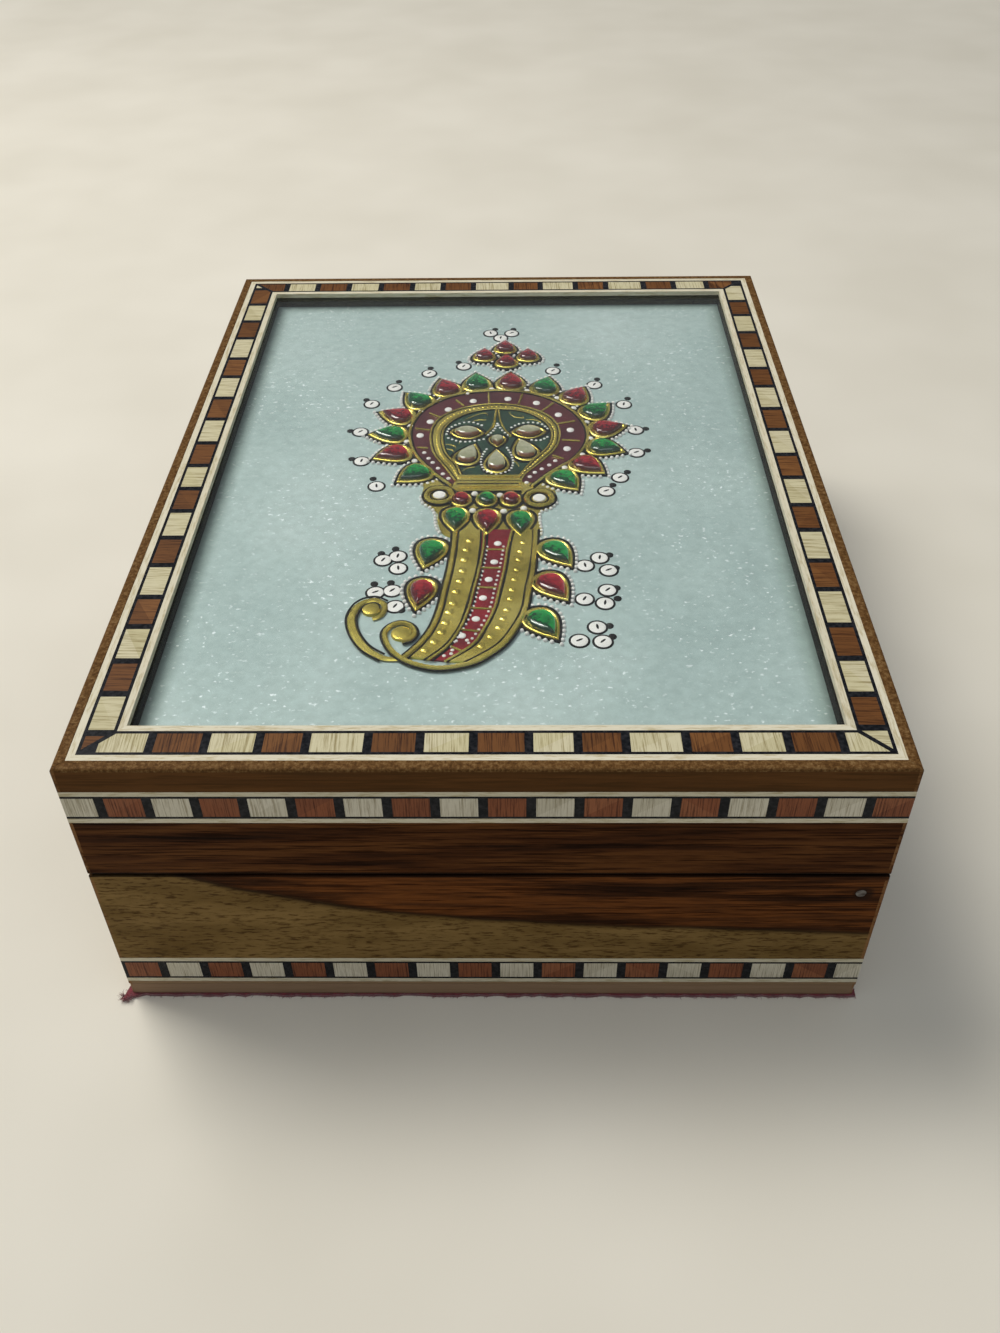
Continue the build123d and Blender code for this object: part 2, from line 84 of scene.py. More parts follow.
class Look:
    """The nodes of one material, or of the world."""

    def __init__(self, owner, slot=None):
        owner.use_nodes = True
        self.owner, self.slot, self.tree = owner, slot, owner.node_tree

    def feed(self, made, inputs):
        """Set inputs by name or number: a socket is linked, anything else is the value."""
        for key, value in inputs.items():
            socket = made.inputs[key]
            if isinstance(value, bpy.types.NodeSocket):
                self.tree.links.new(value, socket)
            else:
                socket.default_value = (*value, 1) if socket.type == "RGBA" else value
        return made

    def add(self, kind, inputs=None, **settings):
        """A new node."""
        made = self.tree.nodes.new("ShaderNode" + kind)
        for key, value in settings.items():
            setattr(made, key, value)
        return self.feed(made, inputs or {})

    def shade(self, inputs):
        """Set the main shader, and give it back."""
        return self.feed(self.tree.nodes["Principled BSDF"], inputs)

    def blend(self, factor, first, second):
        """Show a mix of two shaders."""
        both = self.add("MixShader", {0: factor, 1: first.outputs[0], 2: second.outputs[0]})
        output = next(made for made in self.tree.nodes if made.name.endswith("Output"))
        self.feed(output, {"Surface": both.outputs[0]})

    def ray(self, kind):
        """Whether a ray is of one kind."""
        return self.add("LightPath").outputs[kind]

    def axes(self, output="Object"):
        """The three parts of an object coordinate or of the normal."""
        coordinate = self.add("TexCoord").outputs[output]
        return list(self.add("SeparateXYZ", {0: coordinate}).outputs)

    def ramp(self, factor, *stops):
        """Colours along a factor; each stop is (place, colour) or (place, grey)."""
        made = self.add("ValToRGB", {0: factor})
        points = made.color_ramp.elements
        while len(points) < len(stops):
            points.new(0.5)
        for point, (place, colour) in zip(points, stops):
            point.position = place
            point.color = (*(colour if isinstance(colour, tuple) else (colour,) * 3), 1)
        return made.outputs[0]

    def noise(self, scale, detail=3.0, roughness=0.55, stretch=(1, 1, 1), vector=None):
        """Soft random values in stretched object coordinates, or on a vector."""
        if vector is None:
            coordinate = self.add("TexCoord").outputs["Object"]
            vector = self.add("Mapping", {0: coordinate, "Scale": stretch}).outputs[0]
        return self.add("TexNoise", {"Vector": vector, "Scale": scale, "Detail": detail,
                                     "Roughness": roughness}).outputs[0]

    def mix(self, factor, first, second, blend="MIX"):
        """Two colours mixed by a factor."""
        inputs = {0: factor, 6: first, 7: second}
        return self.add("Mix", inputs, data_type="RGBA", blend_type=blend).outputs[2]

    def math(self, operation, first, second=0.0, clamp=False):
        """One sum of two values or sockets."""
        return self.add("Math", {0: first, 1: second}, operation=operation, use_clamp=clamp).outputs[0]

    def times(self, first, second, clamp=False):
        """A product."""
        return self.math("MULTIPLY", first, second, clamp)

    def plus(self, first, second, clamp=False):
        """A sum."""
        return self.math("ADD", first, second, clamp)

    def minus(self, first, second, clamp=False):
        """A difference."""
        return self.math("SUBTRACT", first, second, clamp)

    def size(self, value):
        """A value without its sign."""
        return self.math("ABSOLUTE", value)

    def above(self, value, limit):
        """One where a value is above a limit, else nought."""
        return self.math("GREATER_THAN", value, limit)

    def below(self, value, limit):
        """One where a value is below a limit, else nought."""
        return self.math("LESS_THAN", value, limit)

    def bump(self, height, strength, distance=0.0002, rounding=0.0):
        """Fine relief, with the edges eased where rounding is given."""
        inputs = {"Height": height, "Strength": strength, "Distance": distance}
        if rounding:
            inputs["Normal"] = self.add("Bevel", {"Radius": rounding}, samples=4).outputs[0]
        self.shade({"Normal": self.add("Bump", inputs).outputs[0]})


def material(name, slot=None):
    """A new material's look; the slot is stored on the look but not used."""
    return Look(bpy.data.materials.new(name), slot)


def coat(piece, look):
    """Give a piece its only material."""
    piece.data.materials.clear()
    piece.data.materials.append(look.owner)


cream = material("floor_cream")
floor_tone = cream.ramp(cream.noise(14, 2), (0.3, (0.70, 0.66, 0.56)), (0.7, (0.76, 0.72, 0.62)))
near_floor = cream.shade({"Base Color": floor_tone, "Roughness": 0.75})
floor_size, fade_start, fade_run, far_glow = 8, 0.55, 0.9, 0.92
from_middle = cream.add("VectorMath", {0: cream.add("TexCoord").outputs["Object"]}, operation="LENGTH")
distant = cream.math("DIVIDE", cream.minus(from_middle.outputs["Value"], fade_start), fade_run, clamp=True)
far_floor = cream.add("Emission", {0: floor_tone, 1: far_glow})
cream.blend(cream.times(distant, cream.ray("Is Camera Ray")), near_floor, far_floor)
bpy.ops.object.select_all(action="DESELECT")
bpy.ops.mesh.primitive_plane_add(size=floor_size)
floor = bpy.context.object
floor.name = "floor"
coat(floor, cream)

lamps = (
    ("lamp_behind", (-0.64, 0.42, 1.30), 0.7, 17.5, (1.0, 0.97, 0.92)),
    ("lamp_above", (0.10, -0.45, 1.30), 1.0, 4.5, (0.92, 0.96, 1.0)),
)
for name, spot, size, power, tint in lamps:
    lamp = bpy.data.lights.new(name, "AREA")
    lamp.size = size
    lamp.energy = power
    lamp.color = tint
    holder = add_object(name, lamp)
    holder.location = spot
    holder.rotation_euler = (-Vector(spot)).to_track_quat("-Z", "Y").to_euler()
world = bpy.data.worlds.new("room")
room = Look(world)
room_light = room.feed(room.tree.nodes["Background"], {0: (0.80, 0.84, 0.90), 1: 0.20})
backdrop = room.add("Background", {0: (0.66, 0.68, 0.68)})
room.blend(room.ray("Is Camera Ray"), room_light, backdrop)
bpy.context.scene.world = world
bpy.context.scene.view_settings.view_transform = "Standard"

# Felt under the box
# One sheet of crimson wool felt glued to the bottom board and cut by hand, so its edge is
# uneven, a fringe of fibres shows along the front, and one corner pokes out at the front left.
felt = material("felt_crimson")
fibres = felt.noise(900, 4, 0.7, (1, 1, 3))
felt.shade({"Base Color": felt.ramp(fibres, (0.3, (0.075, 0.002, 0.007)), (0.7, (0.21, 0.005, 0.018))),
            "Roughness": 0.95, "Sheen Weight": 0.5, "Sheen Roughness": 0.6})
felt.bump(fibres, 0.8, 0.0003)
chance = random.Random(11)
felt_low, felt_high = (Vector(corner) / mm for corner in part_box("felt_base"))
edge_wander, edge_pitch, corner_pull = 0.28, 1.6, Vector((-1.4, -1.1))
corners = [Vector((felt_low[0], felt_low[1])), Vector((felt_high[0], felt_low[1])),
           Vector((felt_high[0], felt_high[1])), Vector((felt_low[0], felt_high[1]))]
felt_outline = []
for start, end in zip(corners, [*corners[1:], corners[0]]):
    steps = round((end - start).length / edge_pitch)
    inward = Vector((start[1] - end[1], end[0] - start[0])).normalized()
    for step in range(steps):
        wander = inward * chance.uniform(-edge_wander, edge_wander * 0.6)
        felt_outline.append(start.lerp(end, step / steps) + wander)
for corner, share in ((0, 1), (1, 0.35), (-1, 0.4)):
    felt_outline[corner] += corner_pull * share


def prism(outline, low, high):
    """Corners and outward faces of a plate whose outline runs anticlockwise."""
    count = len(outline)
    corners = [(x, y, level) for level in (low, high) for x, y in outline]
    faces = [tuple(reversed(range(count))), tuple(range(count, 2 * count))]
    faces += [(i, (i + 1) % count, (i + 1) % count + count, i + count) for i in range(count)]
    return corners, faces


corners, faces = prism(felt_outline, felt_low[2], felt_high[2])
felt_sheet = mesh_piece("felt_sheet", [(x * mm, y * mm, z * mm) for x, y, z in corners], faces)
coat(felt_sheet, felt)

fibre_corners, fibre_faces = [], []
fibre_radius, fibre_steps, fibre_levels = 0.07, 4, (0.1, 2.2)


def fibre(start, heading, length, rise):
    """One loose wool fibre, a thin three-sided hair that curls a little."""
    base = len(fibre_corners)
    spot, turn = Vector(start), heading
    for step in range(fibre_steps + 1):
        for side in range(3):
            angle = 2 * pi * side / 3
            around = Vector((-sin(turn) * cos(angle), cos(turn) * cos(angle), sin(angle)))
            fibre_corners.append((spot + around * fibre_radius * (1.1 - step / fibre_steps)) * mm)
        turn += chance.uniform(-0.7, 0.7)
        spot = spot + Vector((cos(turn), sin(turn), rise)) * (length / fibre_steps)
        spot[2] = min(max(spot[2], fibre_levels[0]), fibre_levels[1])
    for step in range(fibre_steps):
        for side in range(3):
            a, b = base + 3 * step + side, base + 3 * step + (side + 1) % 3
            fibre_faces.append((a, b, b + 3, a + 3))
    tip = base + 3 * fibre_steps
    fibre_faces.extend([(base + 2, base + 1, base), (tip, tip + 1, tip + 2)])


near_edge, corner_every = 1.5, 95
for index, (x, y) in enumerate(felt_outline):
    if index % corner_every == 0:
        outward = atan2(y, x)
    elif abs(y - felt_low[1]) < near_edge:
        outward = -pi / 2
    elif abs(y - felt_high[1]) < near_edge:
        outward = pi / 2
    else:
        outward = 0 if x > 0 else pi
    on_end, on_side = outward in (-pi / 2, pi / 2), outward in (0, pi)
    for _ in range(3 if outward == -pi / 2 else 2):
        spot = (x + chance.uniform(-0.7, 0.7) * on_end, y + chance.uniform(-0.7, 0.7) * on_side,
                chance.uniform(0.15, 0.6))
        fibre(spot, outward + chance.uniform(-0.9, 0.9), chance.uniform(0.3, 0.95),
              chance.uniform(-0.2, 0.25))
tuft_x, tuft_y = felt_outline[0]
tuft_fibres = 75
for _ in range(tuft_fibres):
    spot = (tuft_x + chance.uniform(-0.2, 1.8), tuft_y + chance.uniform(-0.1, 1.2), chance.uniform(0.2, 0.9))
    fibre(spot, chance.uniform(pi * 0.75, pi * 1.75), chance.uniform(0.5, 1.7), chance.uniform(-0.2, 0.6))
felt_fringe = mesh_piece("felt_fringe", fibre_corners, fibre_faces)
coat(felt_fringe, felt)
for piece in (felt_sheet, felt_fringe):
    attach(piece, "base")
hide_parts("felt_base")

# Boards of the base and the lid
# Solid hardwood, planed and oiled. The heartwood is dark red-brown with black streaks, the
# sapwood yellow-brown with short dark flecks, and the front board of the base shows both.


def heights(look):
    """Object coordinates in mm."""
    return [look.times(part, 1000) for part in look.axes()]


def sapwood(look):
    """Yellow-brown wood with short dark flecks along the grain."""
    ground = look.noise(14, 3, stretch=(3, 12, 12))
    base = look.ramp(ground, (0.3, (0.150, 0.088, 0.026)), (0.7, (0.270, 0.170, 0.060)))
    flecks = look.noise(420, 3, 0.6, (1, 3.4, 4.5))
    return look.mix(0.8, base, look.ramp(flecks, (0.34, (0.25, 0.18, 0.10)), (0.50, 1)), "MULTIPLY")


def heartwood(look, across, up):
    """The heartwood's share, and its dark border, which sinks from the top left to the right."""
    border_low, border_rise, border_start, border_run = 21.6, 16.5, -54.0, 44.0
    fall = look.math("DIVIDE", look.minus(border_start, across), border_run)
    line = look.plus(look.times(look.math("EXPONENT", fall), border_rise), border_low)
    wobble = look.times(look.noise(40, 3, stretch=(1, 1, 3)), 2.4)
    over = look.minus(look.plus(up, wobble), look.plus(line, 1.2))
    near = look.minus(1.0, look.times(look.size(over), 0.75), clamp=True)
    return look.plus(look.times(over, 0.9), 0.5, clamp=True), near


def front_board(look, colour, across, up):
    """Sapwood below the heartwood's border, and a dark stain round the brad."""
    share, border = heartwood(look, across, up)
    colour = look.mix(share, sapwood(look), colour)
    colour = look.mix(look.times(border, 0.85), colour, (0.014, 0.005, 0.002))
    brad_x, brad_z = 72.0, 34.6
    reach = [look.math("POWER", look.minus(*pair), 2) for pair in ((across, brad_x), (up, brad_z))]
    halo = look.minus(1.6, look.times(look.plus(*reach), 0.3), clamp=True)
    return look.mix(look.times(halo, 0.7), colour, (0.012, 0.006, 0.004))


def rail_faces(look, colour, across, deep, up):
    """Raw, rubbed wood outside the inlay of the top frame, and painted shade on the faces under the glass."""
    margin_x, margin_y, top_level = 73.6, 99.6, 68.3
    glass_ledge, hidden_x, hidden_y = 67.2, 67.4, 93.4
    from_side, from_end = look.size(across), look.size(deep)
    margin = look.math("MAXIMUM", look.above(from_side, margin_x), look.above(from_end, margin_y))
    fuzz = look.noise(1500, 4, 0.7)
    raw = look.ramp(fuzz, (0.34, (0.060, 0.028, 0.009)), (0.5, (0.125, 0.062, 0.020)),
                    (0.68, (0.24, 0.145, 0.060)))
    near_top = look.times(look.above(up, top_level), margin)
    colour = look.mix(look.times(near_top, 0.85), colour, raw)
    colour = look.mix(look.times(margin, 0.5), colour, look.mix(near_top, (0.125, 0.060, 0.018), raw))
    # Painted shade: the rails' inner faces below the glass are made near black, for the shade in the recess.
    painted_shade_zone = look.times(look.below(from_side, hidden_x), look.below(from_end, hidden_y))
    return look.mix(look.times(look.below(up, glass_ledge), painted_shade_zone), colour, (0.010, 0.010, 0.012))


def wall_lines(look, colour, waves, up):
    """A pale line at the foot, and a painted shadow line where lid and base meet."""
    foot_level, seam_level, seam_shade = 5.3, 40.15, 0.85
    pale_foot = look.below(look.plus(up, look.times(waves, 0.5)), foot_level)
    colour = look.mix(look.times(pale_foot, 0.8), colour, (0.33, 0.22, 0.13))
    # Painted shadow: the wood darkens within about a millimetre of the seam between lid and base, for the
    # shadow in the gap.
    from_seam = look.size(look.minus(up, seam_level))
    painted_seam_shadow = look.below(look.plus(from_seam, look.times(waves, 0.3)), seam_shade)
    return look.mix(look.times(painted_seam_shadow, 0.8), colour, (0.008, 0.004, 0.002))


dark_brown, red_brown, golden_brown = (0.022, 0.007, 0.002), (0.080, 0.026, 0.007), (0.150, 0.056, 0.015)
board_tones = (dark_brown, red_brown, golden_brown)


def wood_surface(name, along, tones=board_tones, heart_edge=False, frame_rail=False):
    """Hardwood whose grain runs along x or y."""
    look = material(name)
    dark, middle, light = tones
    stretch = (0.6, 9, 9) if along == "x" else (9, 0.6, 9)
    fine = (1, 30, 30) if along == "x" else (30, 1, 30)
    waves = look.noise(3.5, 2, stretch=(5, 5, 5))
    rings = look.noise(34, 5, 0.62, stretch)
    pores = look.noise(75, 3, 0.6, fine)
    heart = look.ramp(rings, (0.34, dark), (0.46, middle), (0.57, light), (0.68, middle))
    heart = look.mix(look.times(waves, 0.45), heart, dark)
    streak = look.ramp(pores, (0.38, (0.20, 0.15, 0.12)), (0.50, 1))
    colour = look.mix(0.8, heart, streak, "MULTIPLY")
    across, deep, up = heights(look)
    if heart_edge:
        colour = front_board(look, colour, across, up)
    if frame_rail:
        colour = rail_faces(look, colour, across, deep, up)
    else:
        colour = wall_lines(look, colour, waves, up)
    corner_x, corner_y, rubbed_shade = 75.35, 101.35, (0.27, 0.135, 0.055)
    corner = look.times(look.above(look.size(across), corner_x), look.above(look.size(deep), corner_y))
    patchy = look.ramp(look.noise(260, 4, 0.7), (0.44, 0), (0.58, 0.75))
    look.shade({"Base Color": look.mix(look.times(corner, patchy), colour, rubbed_shade),
                "Roughness": look.ramp(pores, (0.3, 0.65), (0.6, 0.42)), "Specular IOR Level": 0.03})
    look.bump(pores, 0.35, 0.0001, 0.0005)
    return look


board_x, board_y = (wood_surface(f"board_grain_{along}", along) for along in "xy")
board_front = wood_surface("board_base_front", "x", (dark_brown, red_brown, (0.215, 0.070, 0.016)), True)
bottom_wood = wood_surface("bottom_board_wood", "x",
                           ((0.11, 0.060, 0.048), (0.20, 0.12, 0.10), (0.28, 0.18, 0.145)))
rail_x, rail_y = (wood_surface(f"rail_grain_{along}", along, frame_rail=True) for along in "xy")
for sides, board, rail in ((("front", "back"), board_x, rail_x), (("left", "right"), board_y, rail_y)):
    for side in sides:
        coat(node[f"base_{side}_wall"], board)
        coat(node[f"lid_{side}_wall"], board)
        coat(node[f"top_rail_{side}"], rail)
coat(node["base_front_wall"], board_front)
coat(node["bottom_board"], bottom_wood)
coat(node["lid_panel"], board_y)

# Brads
# Round iron brads through the front and back boards into the ends of the side boards.
iron = material("iron_dark")
rust = iron.ramp(iron.noise(900, 3), (0.35, (0.05, 0.035, 0.03)), (0.65, (0.22, 0.21, 0.20)))
iron.shade({"Base Color": rust, "Metallic": 0.8, "Roughness": 0.5})
coat(node["corner_brads"], iron)

# Inlaid bands
# Sawn slips of cream bone and red-brown wood between bone strings, bedded in polished black
# filler. The saw leaves fine streaks across each slip, and the slips are sanded flush.


def across_the_band(look):
    """A coordinate that runs along the band on every side, for streaks that lie across it."""
    half_width, half_depth = 76 * mm, 102 * mm
    x, y, z = look.axes()
    on_side = look.above(look.minus(look.size(x), half_width), look.minus(look.size(y), half_depth))
    on_end = look.minus(1.0, on_side)
    along = look.plus(look.times(y, on_side), look.times(x, on_end))
    across = look.plus(look.times(x, on_side), look.times(y, on_end))
    return along, across, z


def slip_surface(name, streak_scale, streak_dark, tones, rough=0.42, lengthwise=False):
    """Bone or wood sawn into slips."""
    look = material(name)
    along, across, up = across_the_band(look)
    squeeze = 8.0 if lengthwise else 0.03
    slant = look.times(across, 0.04)
    vector = look.add("CombineXYZ", {0: look.plus(along, slant), 1: look.times(across, squeeze),
                                     2: look.times(up, squeeze)})
    streaks = look.noise(streak_scale, 4, 0.7, vector=vector.outputs[0])
    stops = [(index / (len(tones) - 1), tone) for index, tone in enumerate(tones)]
    ground = look.ramp(look.add("NewGeometry").outputs["Random Per Island"], *stops)
    dark = look.ramp(streaks, (0.36, streak_dark), (0.52, 1))
    look.shade({"Base Color": look.mix(0.9, ground, dark, "MULTIPLY"), "Roughness": rough,
                "Specular IOR Level": 0.15})
    look.bump(streaks, 0.3, 0.0001)
    return look


bone_slip = slip_surface("bone_slip", 3600, (0.46, 0.40, 0.27),
                         ((0.55, 0.50, 0.30), (0.60, 0.55, 0.37), (0.50, 0.45, 0.26)))
wood_slip = slip_surface("wood_slip", 3300, (0.16, 0.08, 0.05),
                         ((0.27, 0.088, 0.036), (0.22, 0.070, 0.030), (0.32, 0.118, 0.052)), 0.5)
side_bone_slip = slip_surface("bone_slip_side", 3600, (0.42, 0.37, 0.27),
                              ((0.64, 0.60, 0.48), (0.70, 0.66, 0.54), (0.58, 0.54, 0.42)))
top_wood_slip = slip_surface("wood_slip_top", 3300, (0.16, 0.08, 0.05),
                             ((0.16, 0.062, 0.017), (0.125, 0.048, 0.013), (0.20, 0.083, 0.024)), 0.55)
bone_string = slip_surface("bone_string", 260, (0.70, 0.64, 0.50),
                           ((0.64, 0.59, 0.44), (0.70, 0.65, 0.50)), lengthwise=True)
black = material("black_filler")
grime = black.ramp(black.noise(1200, 3), (0.4, (0.006, 0.007, 0.009)), (0.75, (0.028, 0.028, 0.032)))
black.shade({"Base Color": grime, "Roughness": 0.25, "Specular IOR Level": 0.08})
band_looks = {
    "base_band": (side_bone_slip, wood_slip, ("strings",)),
    "lid_band": (side_bone_slip, wood_slip, ("strings",)),
    "top": (bone_slip, top_wood_slip, ("outer_strings", "inner_strings")),
}
for band, (bone_look, wood_look, strings) in band_looks.items():
    coat(node[f"{band}_bone_blocks"], bone_look)
    coat(node[f"{band}_wood_blocks"], wood_look)
    coat(node[f"{band}_black_lines"], black)
    for string in strings:
        coat(node[f"{band}_{string}"], bone_string)

# Linings
# Red velvet glued on card against the walls, the floor and the ceiling of the lid.
velvet = material("velvet_red")
pile = velvet.noise(1500, 3, 0.7)
lay = velvet.ramp(velvet.noise(22, 3), (0.3, (0.16, 0.004, 0.012)), (0.7, (0.30, 0.012, 0.028)))
nap = velvet.mix(0.5, lay, velvet.ramp(pile, (0.3, 0.5), (0.7, 1)), "MULTIPLY")
velvet.shade({"Base Color": nap, "Roughness": 0.9, "Sheen Weight": 0.7, "Sheen Roughness": 0.35,
              "Sheen Tint": (0.9, 0.3, 0.35)})
velvet.bump(pile, 0.6, 0.0002)
for lining in ("base_floor_lining", "base_wall_lining", "lid_ceiling_lining", "lid_wall_lining"):
    coat(node[lining], velvet)

# Hinges and screws
# Small brass butt hinges with a stop, let into the rims at the back.
brass = material("brass_plain")
dull = brass.noise(300, 4)
brass.shade({"Base Color": brass.ramp(dull, (0.35, (0.42, 0.27, 0.09)), (0.65, (0.72, 0.52, 0.22))),
             "Roughness": brass.ramp(dull, (0.35, 0.45), (0.65, 0.22)), "Metallic": 1.0})
for part in ("hinge_base_leaves", "hinge_lid_leaves", "hinge_pins", "hinge_base_screws", "hinge_lid_screws"):
    coat(node[part], brass)

# Marble tile
# A polished tile of pale blue-green marble full of small white crystals, with painted shade near its edges,
# where the rails over it would shade it.
tile_half_width, tile_half_depth, edge_shade_reach = 65.5, 91.5, 5.0
marble = material("marble_pale")
cloud = marble.noise(22, 5, 0.6, (1, 0.7, 1))
grain = marble.noise(420, 4, 0.65)
ground = marble.ramp(cloud, (0.30, (0.37, 0.475, 0.455)), (0.5, (0.44, 0.55, 0.525)),
                     (0.72, (0.52, 0.625, 0.60)))
ground = marble.mix(0.35, ground, marble.ramp(grain, (0.35, 0.60), (0.65, 1)), "MULTIPLY")
crystals = marble.ramp(marble.noise(850, 2, 0.5, (1, 1.3, 1)), (0.635, 0), (0.72, 1))
patches = marble.ramp(marble.noise(45, 2), (0.38, 0.25), (0.6, 1))
stone = marble.mix(marble.times(marble.times(crystals, patches), 0.9), ground, (0.86, 0.92, 0.92))
across, deep, _ = heights(marble)
# Painted shade: the tile's colour darkens within a few mm of its edges, for the shade of the rails round the
# recess.
edge_gap = marble.math("MINIMUM", marble.minus(tile_half_width, marble.size(across)),
                       marble.minus(tile_half_depth, marble.size(deep)))
edge_share = marble.math("DIVIDE", edge_gap, edge_shade_reach, clamp=True)
painted_edge_shade = marble.ramp(edge_share, (0.0, (0.20, 0.22, 0.19)), (0.45, (0.72, 0.74, 0.70)), (1.0, 1))
marble.shade({"Base Color": marble.mix(1.0, stone, painted_edge_shade, "MULTIPLY"), "Roughness": 0.5,
              "Specular IOR Level": 0.25})
coat(node["marble_tile"], marble)

# Glass pane
# Clear float glass on the ledge of the rails, held down by the inner bone strings.
glass = material("glass_clear")
pane = glass.shade({"Base Color": (0.96, 0.99, 0.98), "Roughness": 0.02, "Transmission Weight": 1.0,
                    "IOR": 1.45})
unseen = glass.math("MAXIMUM", glass.ray("Is Shadow Ray"), glass.ray("Is Diffuse Ray"))
glass.blend(unseen, pane, glass.add("BsdfTransparent"))
coat(node["glass_pane"], glass)

# Ornament, ground and measures
# A turban ornament in the common Kundan way: gold foil over raised gesso on the marble, enamel
# cells, and coloured glass stones in gold settings. Heights are above the marble.
marble_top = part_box("marble_tile")[1][2] / mm
plate_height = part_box("ornament_plate")[1][2] / mm - marble_top
gold = material("gold_foil", "gold_foil")
gold_tone = gold.ramp(gold.noise(90, 3), (0.3, (0.46, 0.36, 0.07)), (0.5, (0.66, 0.53, 0.12)),
                      (0.7, (0.82, 0.68, 0.20)))
gold.shade({"Base Color": gold_tone, "Metallic": 0.9, "Roughness": 0.27})
gold.bump(gold.noise(240, 3), 0.4, 0.0002)


def plain_surface(name, slot, low, high, rough, gloss=0.0, scale=300, shine=0.5):
    """Enamel, ink or paint in two close tones."""
    look = material(name, slot)
    tone = look.ramp(look.noise(scale, 3), (0.35, low), (0.65, high))
    look.shade({"Base Color": tone, "Roughness": rough, "Specular IOR Level": shine,
                "Coat Weight": gloss, "Coat Roughness": 0.08})
    return look


ink = plain_surface("ink_black", "black_filler", (0.002, 0.002, 0.002), (0.007, 0.006, 0.005), 0.6,
                    shine=0.12)
white_paint = plain_surface("paint_white", "bone", (0.76, 0.74, 0.70), (0.86, 0.84, 0.80), 0.5)
maroon = plain_surface("enamel_maroon", "ruby", (0.050, 0.004, 0.008), (0.085, 0.007, 0.013), 0.3, 0.3, 120)
crimson = plain_surface("enamel_crimson", "ruby", (0.12, 0.003, 0.008), (0.24, 0.006, 0.014), 0.25, 0.4, 120)
green = plain_surface("enamel_green", "emerald", (0.004, 0.020, 0.011), (0.010, 0.048, 0.024), 0.3, 0.3, 160)


def smooth(points, pitch, closed=False):
    """Points one pitch apart along a smooth line through the given ones."""
    before = points[-1] if closed else points[0]
    after = points[:2] if closed else points[-1:]
    line = [before, *points, *after]
    dense = []
    for four in zip(line, line[1:], line[2:], line[3:]):
        for step in range(10):
            t = step / 10
            dense.append([0.5 * (2 * b + (c - a) * t + (2 * a - 5 * b + 4 * c - d) * t * t
                                 + (3 * b - a - 3 * c + d) * t ** 3) for a, b, c, d in zip(*four)])
    dense.append(dense[0] if closed else list(points[-1]))
    walked = [0.0]
    for (x, y), (u, v) in zip(dense, dense[1:]):
        walked.append(walked[-1] + hypot(u - x, v - y))
    count = max(2, round(walked[-1] / pitch))
    places, at = [], 0
    for step in range(count + (0 if closed else 1)):
        wanted = walked[-1] * step / count
        while at < len(dense) - 2 and walked[at + 1] < wanted:
            at += 1
        share = (wanted - walked[at]) / max(1e-9, walked[at + 1] - walked[at])
        (x, y), (u, v) = dense[at], dense[at + 1]
        places.append((x + (u - x) * share, y + (v - y) * share))
    return places


def beside(points, distance):
    """A line moved sideways, to its left for a positive distance."""
    moved = []
    for index, (x, y) in enumerate(points):
        (x0, y0), (x1, y1) = points[max(0, index - 1)], points[min(len(points) - 1, index + 1)]
        reach = hypot(x1 - x0, y1 - y0)
        moved.append((x - (y1 - y0) / reach * distance, y + (x1 - x0) / reach * distance))
    return moved


def circle(x, y, radius, count):
    """Points round a centre."""
    turns = [2 * pi * i / count for i in range(count)]
    return [(x + radius * cos(turn), y + radius * sin(turn)) for turn in turns]


def choose(piece):
    """Make a piece the one that the next operators work on."""
    bpy.ops.object.select_all(action="DESELECT")
    piece.select_set(True)
    bpy.context.view_layer.objects.active = piece


seen_through_glass = -1.4


def keep(piece, look, sharp=35):
    """Finish a piece of the ornament: its place under the glass, shading, material and body."""
    piece.data.transform(Matrix.Translation((0, seen_through_glass * mm, 0)))
    choose(piece)
    bpy.ops.object.shade_smooth_by_angle(angle=radians(sharp))
    coat(piece, look)
    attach(piece, "lid")
    return piece


def solid(name, corners, faces):
    """A closed piece from corners in mm above the marble, faces outward."""
    places = [(x * mm, y * mm, (z + marble_top) * mm) for x, y, z in corners]
    piece = mesh_piece(f"ornament_{name}", places, faces)
    shape = bmesh.new()
    shape.from_mesh(piece.data)
    bmesh.ops.recalc_face_normals(shape, faces=shape.faces)
    shape.to_mesh(piece.data)
    shape.free()
    return piece


def strip(name, first, second, low, high, count=70):
    """A flat band between two lines, such as a cell of enamel or a fold of foil."""
    rows = []
    for line in (first, second):
        length = sum(hypot(u - x, v - y) for (x, y), (u, v) in zip(line, line[1:]))
        rows.append(smooth(line, length / count * 1.0001)[:count])
    steps = min(len(row) for row in rows)
    corners = []
    for (x, y), (u, v) in zip(rows[0][:steps], rows[1][:steps]):
        corners += [(x, y, low), (x, y, high), (u, v, high), (u, v, low)]
    faces = [(4 * step + a, 4 * step + b, 4 * step + 4 + b, 4 * step + 4 + a)
             for step in range(steps - 1) for a, b in ((0, 1), (1, 2), (2, 3), (3, 0))]
    faces += [(0, 1, 2, 3), tuple(4 * steps - 4 + corner for corner in (0, 1, 2, 3))]
    return solid(name, corners, faces)


def slab(name, outline, low, high):
    """A flat piece with an outline."""
    return solid(name, *prism(outline, low, high))


